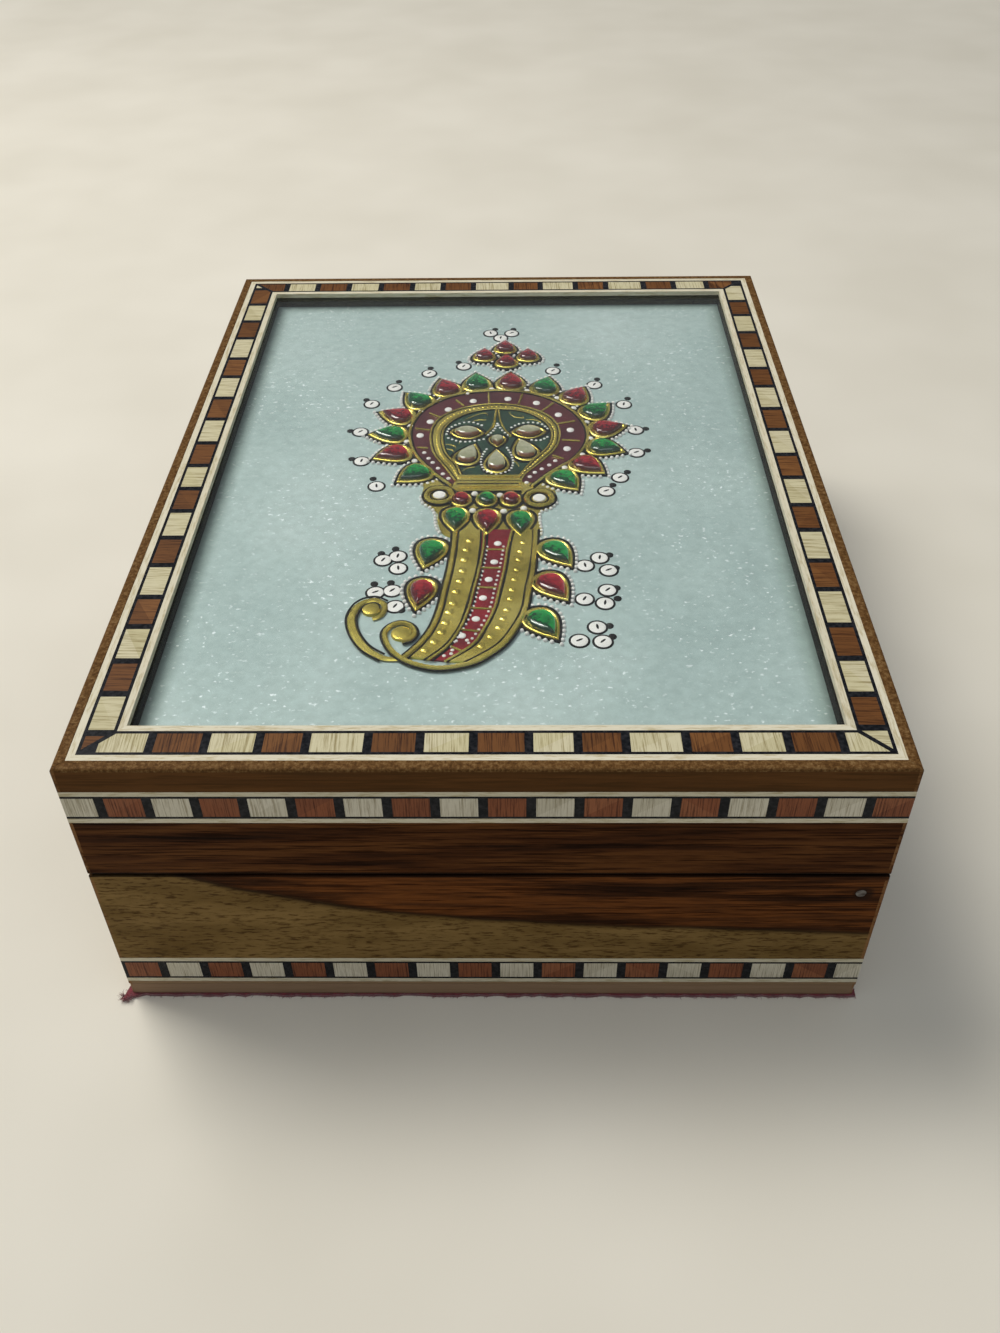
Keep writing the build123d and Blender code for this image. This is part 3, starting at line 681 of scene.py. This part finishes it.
def wire(name, lines, width, foot, flat=0.8, beads=0.0, pitch=0.5, closed=False, taper=None):
    """Round wire along smooth lines, lying on a foot height; beads notch it at every second point."""
    name = f"ornament_{name}"
    curve = bpy.data.curves.new(name, "CURVE")
    curve.dimensions = "3D"
    curve.bevel_depth = width / 2 * mm
    curve.bevel_resolution = 1
    curve.use_fill_caps = True
    for line in lines:
        dots = smooth(line, pitch, closed)
        spline = curve.splines.new("POLY")
        spline.points.add(len(dots) - 1)
        spline.use_cyclic_u = closed
        for index, (point, (x, y)) in enumerate(zip(spline.points, dots)):
            point.co = (x * mm, y * mm, 0, 1)
            point.radius = 1 - beads * (index % 2)
            if taper:
                share = index / (len(dots) - 1) * (len(taper) - 1)
                low = min(int(share), len(taper) - 2)
                point.radius *= taper[low] + (taper[low + 1] - taper[low]) * (share - low)
    holder = add_object(name, curve)
    choose(holder)
    bpy.ops.object.convert(target="MESH")
    lift = (marble_top + foot + width * flat / 2) * mm
    holder.data.transform(Matrix.Translation((0, 0, lift)) @ Matrix.Diagonal((1, 1, flat, 1)))
    return holder


def raised(outline, steps):
    """A small form built up from its outline: each step is (scale, rise) from the one before."""
    bpy.ops.object.select_all(action="DESELECT")
    bpy.ops.mesh.primitive_circle_add(vertices=len(outline), radius=mm, fill_type="NGON")
    form = bpy.context.object
    for corner, (x, y) in zip(form.data.vertices, outline):
        corner.co = (x, y, 0)
    bpy.ops.object.mode_set(mode="EDIT")
    bpy.ops.mesh.select_all(action="SELECT")
    for scale, rise in steps:
        bpy.ops.mesh.extrude_region_move(TRANSFORM_OT_translate={"value": (0, 0, rise)})
        bpy.ops.transform.resize(value=(scale, scale, 1), center_override=(0, 0, 0))
    bpy.ops.mesh.select_all(action="SELECT")
    bpy.ops.mesh.normals_make_consistent(inside=False)
    bpy.ops.object.mode_set(mode="OBJECT")
    return form


def repeat(name, form, places):
    """Copies of a form in one piece; a place is (x, y, foot, turn, length, width, height)."""
    corners, faces = [], []
    for x, y, foot, turn, length, width, height in places:
        start = len(corners)
        spot = (Matrix.Translation(Vector((x, y, foot + marble_top)) * mm)
                @ Matrix.Rotation(radians(turn), 4, "Z")
                @ Matrix.Diagonal((length * mm, width * mm, height * mm, 1)))
        corners += [spot @ corner.co for corner in form.data.vertices]
        faces += [[start + index for index in face.vertices] for face in form.data.polygons]
    return mesh_piece(f"ornament_{name}", corners, faces)


# Ornament, head
# A green field inside a band of embossed gold, inside a ring of maroon cells with gold bars and
# white dots. The ring is open below, where it runs down to the neck.
ring_outside = ((-9.5, -4.9), (-14.2, 1.2), (-18.6, 9), (-20.5, 17.8), (-19.6, 25.6), (-16.6, 31.7),
                (-11.4, 36.4), (-4.7, 38.9), (3.6, 39.3), (11, 37.1), (17.1, 32.2), (21, 26.1),
                (22.8, 19.5), (22.1, 12.8), (18.8, 6.2), (13.5, 0.7), (8.8, -5.4))
ring_inside = ((-8.9, -3.2), (-11.4, 2.3), (-14.7, 9.5), (-15.8, 18.4), (-14.3, 25), (-10.6, 29.2),
               (-5.3, 31.9), (1.3, 32.8), (8, 31.1), (13.3, 27.2), (15.7, 22.8), (16.4, 17.8),
               (15.2, 11.2), (11.3, 4.5), (7.7, -0.5), (6.3, -4.9))
field_edge = ((-7.5, -1.3), (-8.9, 3.7), (-11.8, 9.5), (-12.9, 17.8), (-11.5, 23.1), (-8.1, 27.2),
              (-3.6, 29.6), (1.3, 30.3), (6.9, 29.2), (11.2, 26), (13.8, 21.7), (14.5, 17),
              (13.3, 11.5), (9.4, 5.1), (6.3, -1.3))
ring_bars = ((-10, 34.8, -7.8, 31.8), (-16.6, 28.2, -13.6, 26), (-19.7, 20.7, -16.1, 19.9),
             (-18.8, 11.6, -16.1, 11.3), (-1.7, 38.7, -1.4, 33.1), (7.2, 37.9, 6.1, 32.6),
             (15.2, 33.1, 11.9, 28.7), (20.4, 24, 16, 22.6), (21.3, 14.3, 16.8, 14.9),
             (14.4, 7.7, 17.1, 6))
enamel_height = plate_height + 0.12
foil_height = plate_height + 0.22
in_plate, in_enamel, in_foil = plate_height - 0.1, enamel_height - 0.1, foil_height - 0.2
on_enamel, on_foil = enamel_height - 0.05, foil_height - 0.05
head_outline = circle(1.2, 17.6, 24.3, 72)
neck_outline = ((-15.2, 0), (-16.2, -6.5), (-16.4, -10.2), (-14.6, -13.6), (-12.4, -16.4), (-12.1, -20.5),
                (-9.6, -25.5), (0, -27), (10.6, -25.5), (10.5, -19), (11.2, -15.8), (13.9, -13.6),
                (15, -10.2), (14.6, -6.5), (15.5, 0), (0, 4))
grounds = (keep(slab("head_ground", head_outline, 0, plate_height), gold),
           keep(slab("neck_ground", smooth(neck_outline, 1, True), 0, plate_height - 0.02), gold))
for ground in grounds:
    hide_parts("ornament_plate")
keep(strip("ring_enamel", ring_outside, ring_inside, in_plate, enamel_height), maroon)
keep(strip("ring_foil", beside(ring_inside, -0.25), field_edge, in_plate, foil_height), gold)
keep(slab("field", smooth(field_edge, 0.8), in_plate, enamel_height), green)
bars = [((x, y), (u, v)) for x, y, u, v in ring_bars]
keep(wire("ring_bars", bars, 0.55, in_enamel), gold)
keep(wire("ring_edge", (beside(ring_outside, 0.55),), 0.95, plate_height - 0.15, beads=0.28, pitch=0.55), gold)
keep(wire("ring_inner_edges", (ring_inside, field_edge), 0.55, enamel_height, flat=0.7, beads=0.2, pitch=0.6),
     gold)
ink_lines = [beside(ring_outside, 1.1), beside(ring_outside, 0.02), beside(ring_inside, -0.38),
             beside(field_edge, 0.35), beside(field_edge, -0.3)]

# Ornament, neck and tail
# Below the head come a barred neck between two curls, and a tail of two embossed gold bands
# with a crimson band between them, edged with gold cord, which ends in two curls at the left.
edge_levels = (-23.2, -29.8, -37.6, -44.8, -51.4, -57.5)
edge_2 = (*zip((-2.3, -2.4, -2.9, -3.9, -4.9, -6.2), edge_levels), (-8.7, -63), (-12.6, -67.5))
edge_3 = (*zip((-1, -1.1, -1.8, -2.8, -3.7, -5.3), edge_levels), (-7.7, -63.3), (-10.9, -67.5))
edge_4 = (*zip((4.1, 3.1, 2.3, 1.3, 0.4, -1.4), edge_levels), (-3.7, -62.5), (-8.7, -67.7))
edge_5 = (*zip((5.2, 4.3, 3.6, 2.6, 1.5, -0.3), edge_levels), (-2.6, -63), (-8.2, -68.1))
edge_6 = (*zip((9.2, 9, 8.3, 7.3, 6.5, 4.4), edge_levels), (1.3, -63), (-4.9, -68.3))
cord_left = ((-8.1, -24.1), (-8.2, -29.9), (-8.7, -37.7), (-9.5, -44.9), (-10.2, -51.5),
             (-11.5, -57.6), (-13.7, -62.6), (-16.7, -66.9))
cord_right = ((9.9, -23.3), (9.6, -29.9), (9.1, -37.7), (8.1, -46), (7.3, -51.5), (5.6, -57.3),
              (3.2, -62.3), (0.4, -65.6), (-3.2, -68.4), (-9.3, -69.9), (-14.5, -68.6),
              (-18.1, -65.9), (-20.2, -62.6), (-21, -59.4), (-20, -57.2), (-17.9, -56.1),
              (-15.8, -57.1), (-14.9, -59.3), (-15.8, -61.2), (-17.4, -61.9))
cord_levels = (-23.3, -29.9, -37.7, -44.9, -51.5, -57.6)
cord_inner_left = (*zip((-1.6, -1.7, -2.4, -3.4, -4.3, -5.8), cord_levels), (-8.2, -63.3), (-11.8, -67.6))
cord_inner_right = (*zip((4.7, 3.7, 3, 2, 1, -0.9), cord_levels), (-3.2, -62.9), (-8.4, -68))
second_curl = ((-16.7, -67.1), (-20.9, -66.6), (-24.5, -63.7), (-27.1, -59.3), (-28.2, -54.8),
               (-27.6, -51.3), (-26.2, -49.2), (-23.9, -48.4), (-22.1, -49.4), (-21.7, -51.5),
               (-22.4, -53.6), (-23.9, -54.5))
keep(strip("tail_foil_left", cord_left, edge_2, 0, foil_height), gold)
keep(strip("tail_foil_right", edge_5, cord_right[:9], 0, foil_height), gold)
keep(strip("tail_enamel", edge_2, edge_5, 0, enamel_height), crimson)
keep(wire("tail_cords", (cord_left, cord_right), 1.25, 0.1, beads=0.16, pitch=0.6), gold)
keep(wire("tail_inner_cords", (cord_inner_left, cord_inner_right), 0.65, in_enamel, beads=0.2, pitch=0.6), gold)
keep(wire("second_curl", (second_curl,), 2.3, -0.1, flat=0.42, beads=0.05, pitch=0.6,
          taper=(0.35, 0.8, 1.0, 1.0, 0.8, 0.6, 0.5)), gold)
tail_bars = (((-1.1, -30.9), (3.1, -30.9)), ((-1.9, -37.5), (2.3, -37.7)), ((-2.7, -44.3), (1.4, -44.6)),
             ((-3.9, -51.3), (0.5, -51.6)), ((-5.6, -58.2), (-2, -58.8)), ((-7.5, -63.4), (-5.3, -64.8)))
keep(wire("tail_bars", tail_bars, 0.5, in_enamel), gold)
ink_lines += [beside(cord_left, -0.75), beside(cord_left, 0.75), edge_2, beside(edge_3, 0.1), edge_5,
              beside(edge_6, 0.1), beside(cord_right, 0.75), beside(second_curl, -1.05)[1:-2],
              beside(second_curl, 1.1)[1:-3]]
neck_left, neck_right = -8.4, 6.8
neck = ((neck_left, -0.9), (neck_left - 0.6, -8.4)), ((neck_right, -0.9), (neck_right + 0.3, -8.4))
keep(strip("neck_foil", neck[0], neck[1], 0, foil_height, 4), gold)
bead_levels, line_levels = (-1.5, -5.6), (-3.0, -4.2, -7.4)
keep(wire("neck_beads", [((neck_left + 0.3, y), (neck_right - 0.3, y)) for y in bead_levels],
          0.8, in_foil, beads=0.45, pitch=0.6), gold)
keep(wire("neck_cords", [((neck_left, y), (neck_right, y)) for y in line_levels], 0.7, in_foil), gold)
ink_lines += [((neck_left, y - 0.55), (neck_right, y - 0.55)) for y in line_levels]


def teardrop(count=28):
    """A pear outline, one unit long and wide, whose tip points along x."""
    turns = [2 * pi * i / count for i in range(count)]
    return [(cos(t) / 2, sin(t) * abs(sin(t / 2)) ** 1.1 / 2 / 0.76) for t in turns]


def almond(count=24):
    """A marquise outline, one unit long and wide, with a point at each end of x."""
    turns = [2 * pi * i / count for i in range(count)]
    return [(cos(t) / 2, sin(t) * abs(sin(t)) ** 0.55 / 2) for t in turns]


def disc_places(spots, size, foot, height):
    """Places of round forms of one size."""
    return [(x, y, foot, 0, size, size, height) for x, y in spots]


dome = raised(circle(0, 0, 0.5, 10), ((1, 0.35), (0.86, 0.3), (0.62, 0.25), (0.3, 0.1)))
curl_centres = ((-12.3, -9.5), (10.9, -10.9))
curl_rings = [circle(x, y, 3.1, 16) for x, y in curl_centres]
keep(wire("neck_curls", curl_rings, 1.15, in_plate, beads=0.15, pitch=0.55, closed=True), gold)
button = raised(circle(0, 0, 0.5, 24), ((1, 0.55), (0.92, 0.3), (0.7, 0.15)))
tail_discs = ((-17.6, -59.2, 4.3), (-24.4, -51.4, 4.0))
curl_lines = [circle(x, y, radius, 16) for x, y in curl_centres for radius in (2.05, 3.95)]
keep(wire("curl_lines", curl_lines, 0.5, plate_height, closed=True), ink)
curl_grounds = disc_places(curl_centres, 7.2, 0, 0.55)
curl_grounds += [(x, y, 0, 0, size, size, 0.75) for x, y, size in tail_discs]
keep(repeat("curl_grounds", button, curl_grounds), gold)
keep(repeat("curl_pearls", button, disc_places(curl_centres, 3.0, 0.5, 0.45)), white_paint)
bumps_left = ((-4.8, -27.5), (-5.4, -30.9), (-5.7, -34.6), (-6, -38.5), (-6.4, -42.1), (-7.1, -45.7),
              (-7.6, -49.6), (-8.3, -52.6), (-8.9, -56), (-9.6, -59), (-10.9, -62), (-12.6, -64.5))
bumps_right = ((7.1, -28.3), (6.5, -31.6), (6.1, -34.6), (5.7, -38.2), (5.2, -41.6), (4.7, -45.2),
               (4.3, -48.2), (3.6, -51.8), (2.9, -54.8), (2, -57.6), (0.4, -60.4), (-1.5, -63.4))
band_middle = [((x + u) / 2, (y + v) / 2) for (x, y), (u, v)
               in zip(smooth(beside(ring_inside, -0.3), 1.24), smooth(field_edge, 1.12))]
keep(repeat("foil_bumps", dome, disc_places(bumps_left, 2.0, on_foil, 0.45)
            + disc_places(bumps_right, 1.7, on_foil, 0.4)
            + disc_places(band_middle, 0.75, on_foil, 0.22)), gold)

# Ornament, settings and stones
# Each stone is a glass cabochon in a raised gold cup with an ink line round its foot. Red and
# green ones alternate round the head; the middle has clear ones. Every stone carries painted light: lighter
# towards the back and right, with painted shade and reflection on its front side, reddish on the clear ones.
stone_turns = ("green", "red")
settings = []
ring_places = ((-18.9, -0.5, 221), (-24.7, 8.6, 205), (-26.3, 17.9, 180), (-25, 27.2, 158),
               (-20.2, 35.1, 130), (-13, 41.7, 110), (-4.9, 44.4, 95), (4.1, 44.9, 90),
               (13.3, 42.2, 78), (21.2, 37.1, 62), (26.2, 29.3, 45), (28.5, 20.4, 15),
               (27.5, 11.1, -22), (22.9, 3, -42), (17.2, -3.4, -56))
for index, (x, y, turn) in enumerate(ring_places):
    settings.append(("drop", x, y, turn, 10.4, 8.4, stone_turns[index % 2]))
for x, y in ((2.5, 64.4), (-3.2, 59.8), (8.8, 59.5), (2.9, 56.2)):
    settings.append(("drop", x, y, 90, 7.6, 6.6, "red"))
for x, y, length, width, tone in ((-8.2, -19.3, 10.6, 6.7, "green"), (-1, -20.1, 10.8, 6.7, "red"),
                                  (6.5, -20.8, 10.8, 6.7, "green")):
    settings.append(("drop", x, y, -90, length, width, tone))
for x, y, turn, width, tone in ((-13.3, -32.2, -102, 7.5, "green"), (-14.5, -46.5, -98, 6.8, "red"),
                                (14.6, -32.4, -58, 7.8, "green"), (13.4, -44.2, -58, 8, "red"),
                                (11.2, -56.5, -60, 7.8, "green")):
    settings.append(("drop", x, y, turn, 11.4, width, tone))
for x, tone in ((-7.2, "red"), (-1.3, "green"), (4.3, "red")):
    settings.append(("oval", x, -11.2, 90, 5.9, 5.2, tone))
settings += [("almond", -6.7, 18.6, -4, 9, 6.4, "clear"), ("almond", 8.7, 18.8, 4, 9, 6.6, "clear"),
             ("drop", 0.9, 14.3, -90, 5.9, 4.6, "clear"), ("drop", -6, 8.4, 72, 10.6, 7, "clear"),
             ("drop", 7.5, 10.7, 106, 11.2, 7, "clear"), ("drop", 0.8, 5.4, 90, 11.4, 6.6, "clear")]
outlines = {"drop": teardrop(), "oval": circle(0, 0, 0.5, 20), "almond": almond()}
cup_steps = ((1, 0.55), (0.95, 0.35), (0.93, 0.1), (0.94, -0.06), (0.93, -0.3))
stone_steps = ((1, 0.2), (0.99, 0.22), (0.96, 0.2), (0.9, 0.15), (0.79, 0.11), (0.55, 0.07), (0.3, 0.02))
stone_share = {"green": (0.74, 0.72), "red": (0.74, 0.72), "clear": (0.7, 0.66)}
cup_height = 0.8
for kind, outline in outlines.items():
    chosen = [setting for setting in settings if setting[0] == kind]
    cup, foot = raised(outline, cup_steps), raised(outline, ((1, 1),))
    cups = [(x, y, 0, turn, length, width, cup_height) for _, x, y, turn, length, width, _ in chosen]
    keep(repeat(f"cups_{kind}", cup, cups), gold, 50)
    lines = [(x, y, 0, turn, length + 1.45, width + 1.25, plate_height + (0.2 if tone == "clear" else 0.06))
             for _, x, y, turn, length, width, tone in chosen]
    keep(repeat(f"cup_lines_{kind}", foot, lines), ink)
    bpy.data.objects.remove(cup)
    bpy.data.objects.remove(foot)


def glass_surface(name, slot, deep, lit, painted_front_shade):
    """Foil-backed glass with painted light: lighter where it faces back and right, darker where it faces front
    and left, and a painted shade and reflection tone on its front side.
    """
    look = material(name, slot)
    # Painted light: the colour runs from the deep tone to the lit one by which way the surface faces.
    right, back, _ = look.axes("Normal")
    leaning = look.plus(back, look.times(right, 0.35))
    painted_light_share = look.plus(look.times(leaning, 0.75), look.times(look.noise(700, 4, 0.7), 0.7))
    body = look.ramp(painted_light_share, (0.24, deep), (0.68, lit))
    # Painted shade and reflection: faces turned to the front take the front tone.
    front = look.times(look.minus(look.times(back, -1.0), 0.28), 4.0, clamp=True)
    look.shade({"Base Color": look.mix(look.times(front, 0.85), body, painted_front_shade), "Roughness": 0.07,
                "Coat Weight": 1.0, "Coat Roughness": 0.02})
    return look


stone_looks = {
    "red": glass_surface("ruby_glass", "ruby", (0.10, 0.002, 0.006), (0.66, 0.014, 0.030),
                         (0.085, 0.012, 0.006)),
    "green": glass_surface("emerald_glass", "emerald", (0.002, 0.055, 0.016), (0.010, 0.52, 0.085),
                           (0.012, 0.034, 0.014)),
    "clear": glass_surface("clear_glass_stone", "clear_stone", (0.34, 0.34, 0.21), (0.66, 0.65, 0.48),
                           (0.20, 0.045, 0.016)),
}
cad_stones = {"red": "ruby_stones", "green": "emerald_stones", "clear": "clear_stones"}
stone_foot, stone_height = 0.45, 1.45
for tone, look in stone_looks.items():
    long_share, wide_share = stone_share[tone]
    for kind, outline in outlines.items():
        spots = [(x, y, stone_foot, turn, length * long_share, width * wide_share, stone_height)
                 for form, x, y, turn, length, width, colour in settings if (form, colour) == (kind, tone)]
        if not spots:
            continue
        stone = raised(outline, stone_steps)
        piece = keep(repeat(f"{tone}_stones_{kind}", stone, spots), look, 60)
        if kind == "drop":
            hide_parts(cad_stones[tone])
        bpy.data.objects.remove(stone)

# Ornament, lines, dots and pearls
# Fine ink lines edge the foil. White enamel dots stand in the cells, between the settings and
# along the outline, and painted beads with black tips hang round the whole on the marble.
keep(wire("ink_lines", ink_lines, 0.52, foil_height - 0.22, flat=0.62, pitch=0.8), ink)
divider_lines = (((0.4, 30.4), (0.2, 26.5), (-0.4, 21.5), (-2.2, 17.5)),
                 ((1, 30.4), (1.5, 24.8), (2.7, 20.1), (4.4, 16.3)))
keep(wire("field_divider", divider_lines, 0.6, in_enamel, beads=0.15, pitch=0.6), gold)
scrolls = (((-7.5, 24.9), (-5.3, 26.9), (-2.5, 28.5), (-1.7, 27.1)), ((-5.8, 23.8), (-4.2, 24.9), (-2, 24.9)),
           ((3.6, 28.8), (4.9, 26.6), (7.4, 25.8), (6.9, 27.1)), ((8, 24.9), (10.2, 24.9), (11.9, 23.5)),
           ((-11.9, 13.3), (-9.7, 12.5), (-9.2, 11.1)), ((-11.7, 11.1), (-10, 10.5), (-9.7, 9.4)),
           ((-7.5, 0.9), (-5.8, 2.5), (-4.2, 2.8)), ((6.3, 2.8), (5.5, 5), (4.7, 5.6)))
keep(wire("field_scrolls", scrolls, 0.35, enamel_height - 0.08, flat=0.5, pitch=0.7,
          taper=(0.5, 1.3, 0.4)), gold)
field_rows = (((-11.8, 18), (-11.1, 20.9), (-8.6, 23.2), (-5.8, 23.8), (-3.1, 22.2)),
              ((-11.3, 16.1), (-9.4, 14.9), (-7.5, 14.3), (-4.7, 14.7), (-2.5, 15.5)),
              ((4.4, 21.1), (6.3, 22.8), (9.1, 23.5), (11.9, 22.7), (13.4, 20.4)),
              ((9.4, 15), (11.6, 14.9), (13.3, 16.4)),
              ((0.8, 23), (0, 19.9), (-1.4, 17.5)), ((1.1, 22.2), (2.2, 19.4), (3.6, 17.5)),
              ((-1.7, 10.8), (-2.7, 7.8), (-2.9, 4.4), (-1.9, 1), (0.8, -0.6)),
              ((3.3, 11.4), (4.4, 8), (4.8, 4.4), (3.8, 1), (0.8, -0.6)))
dots = []
for row in field_rows:
    dots += disc_places(smooth(row, 1.2), 0.68, on_enamel, 0.25)
ring_dots = ((-18.4, 17.4), (-16.2, 24.1), (-11.9, 30.2), (-5.6, 34.5), (3.4, 35.5), (10.8, 33.3),
             (16.3, 27.2), (19.1, 19.7), (18, 10.8))
ring_end_dots = ((-16.9, 9.3), (-15.7, 6.7), (-14.6, 4.8), (-13.2, 2.2), (-11.9, -0.3), (-10.5, -2.3),
                 (15, 5.3), (13.5, 3.4), (11.7, 1.7), (10, 0.2), (8.8, -1.7), (8, -4.2))
gap_dots = ((-18.9, 29.2), (-14.5, 35), (-7.3, 38.7), (-0.9, 40.8), (8.4, 39.8), (16.2, 35.9),
            (20.3, 30.6), (23.3, 23.5), (23.9, 15.6), (21.6, 8.1), (17.1, 2.3), (-21.1, 22),
            (-21.5, 14.6), (-19, 5.6))
collar_dots = ((-4.1, -8.9), (1.8, -9.5), (-4.4, -15.8), (2.7, -16.1), (7.3, -15))
tail_dots = ((1.5, -28.6), (0.8, -35.4), (-0.3, -41.6), (-1.4, -47.9), (-2.7, -54.8), (-5.4, -60.1))
tail_end_dots = ((-4.3, -61.5), (-6.5, -61.7), (-7.1, -64.5), (-8.7, -66.2), (-7.3, -65.6))
dots += [(x, y, on_enamel, 90, 2.2, 1.9, 0.3) for x, y in ring_dots]
for row in ((ring_end_dots, 1.1, on_enamel, 0.3), (gap_dots, 1.6, plate_height - 0.05, 0.5),
            (collar_dots, 1.6, in_foil, 0.6), (tail_dots, 1.75, on_enamel, 0.3),
            (tail_end_dots, 0.8, on_enamel, 0.25)):
    dots += disc_places(*row)
for edge in (beside(edge_3, 0.3)[1:], beside(edge_4, -0.3)[1:]):
    dots += disc_places(smooth(edge[:-1], 1.5), 0.62, on_enamel, 0.28)
keep(repeat("white_dots", dome, dots), white_paint, 60)


def inside(x, y, centre_x, centre_y, turn, length, width):
    """Whether a point lies in a setting, taken as an ellipse."""
    u, v = x - centre_x, y - centre_y
    along = u * cos(radians(turn)) + v * sin(radians(turn))
    across = v * cos(radians(turn)) - u * sin(radians(turn))
    return (2 * along / length) ** 2 + (2 * across / width) ** 2 < 1


tail_shape = [*cord_left, *cord_right[9::-1]]


def apart(spot, others, gap):
    """Whether a spot keeps a gap from all the others."""
    return all(hypot(spot[0] - s, spot[1] - t) > gap for s, t in others)


def in_shape(x, y, shape):
    """Whether a point lies in an outline."""
    found = False
    for (x0, y0), (x1, y1) in zip(shape, [*shape[1:], shape[0]]):
        if (y0 > y) != (y1 > y) and x < (x1 - x0) * (y - y0) / (y1 - y0) + x0:
            found = not found
    return found


pearl_spots = []
head_x, head_y, head_reach = 1.2, 18.2, 23.8
edge_length, edge_width, cup_gap, pearl_gap, side_gap = 2.3, 2.1, 0.9, 1.38, 1.1
for form, x, y, turn, length, width, tone in settings:
    if tone == "clear" or form != "drop" or turn == -90:
        continue
    rest = [other for other in settings if other[1:3] != (x, y)]
    grown = Matrix.Rotation(radians(turn), 2) @ Matrix(((length + edge_length, 0), (0, width + edge_width)))
    around = [Vector((x, y)) + grown @ Vector(corner) for corner in teardrop(64)]
    for u, v in smooth(around, 0.35, closed=True):
        if hypot(u - head_x, v - head_y) < head_reach or in_shape(u, v, tail_shape):
            continue
        if any(inside(u, v, *other[1:4], other[4] + cup_gap, other[5] + cup_gap) for other in rest):
            continue
        if apart((u, v), pearl_spots, pearl_gap):
            pearl_spots.append((u, v))
side_lines = (((-16.6, -9.6), (-16, -12.3), (-13.8, -14.6), (-12.9, -17.5), (-12.7, -20.5), (-11.8, -23.6),
               (-9.8, -25.6)),
              ((14.9, -12.4), (13.4, -14.6), (11.2, -16.0), (10.9, -19.3), (11.2, -23), (11, -25.8)))
for line in side_lines:
    pearl_spots += [spot for spot in smooth(line, 1.3) if apart(spot, pearl_spots, side_gap)]
keep(repeat("pearls", dome, disc_places(pearl_spots, 0.95, 0, 0.62)), white_paint, 60)

beads = ((-26.7, 42.8, -25.8, 46.1), (-17.9, 50.4, -17.7, 53.5), (-8.7, 54.3, -10.2, 56.8),
         (1.2, 71.0), (-1.7, 74.0, -0.4, 76.6), (4.3, 73.9, 4.8, 76.5),
         (15.5, 51.5, 16.6, 54.9), (26.3, 43.6, 27.2, 46.8), (33.4, 33.1, 34.6, 36.3), (35.5, 20.3, 38.1, 21),
         (34.9, 9.6, 37.7, 10.7), (30.2, -1.5, 32.1, 1), (-32, 34, -33.6, 36.3), (-32, 6.3, -34.5, 7.4),
         (-27.4, -4.8, -28.5, -1.5), (26.6, -7.3, 28.3, -4.6), (-33.6, 20, -36.2, 20.6),
         (-23.4, -34, -24, -31.5), (-20.3, -32.6, -21, -29.8), (-19.9, -37),
         (-24.1, -45.4, -24.6, -42.4), (-20.6, -44.8, -21.1, -42), (-19.6, -50.1, -18.2, -51.3),
         (23.7, -33.4, 25.9, -32.3), (20.4, -36.2),
         (25.4, -37.9, 27, -37), (24.8, -44.8, 26.7, -44), (19.8, -47.8), (24, -49.2, 26.7, -47.6),
         (22, -57, 24.5, -56.5), (18.2, -61.2), (22.9, -61.5, 24.9, -59.9))
keep(repeat("bead_lines", button, [(x, y, 0, 0, 4.4, 4.5, 0.12) for x, y, *_ in beads]), ink)
keep(repeat("bead_whites", button, [(x, y, 0, 0, 3.45, 3.55, 0.24) for x, y, *_ in beads]), white_paint)
tips = [(*bead[2:], 0, 0, 1.75, 1.9, 0.2) for bead in beads if bead[2:]]
dashes = [(x, y + 0.1, 0.2, 30 + 17 * (index % 5), 1.7, 0.55, 0.1)
          for index, (x, y, *_) in enumerate(beads)]
keep(repeat("bead_tips", dome, tips + dashes), ink, 60)
for form in (dome, button):
    bpy.data.objects.remove(form)

bpy.context.view_layer.update()
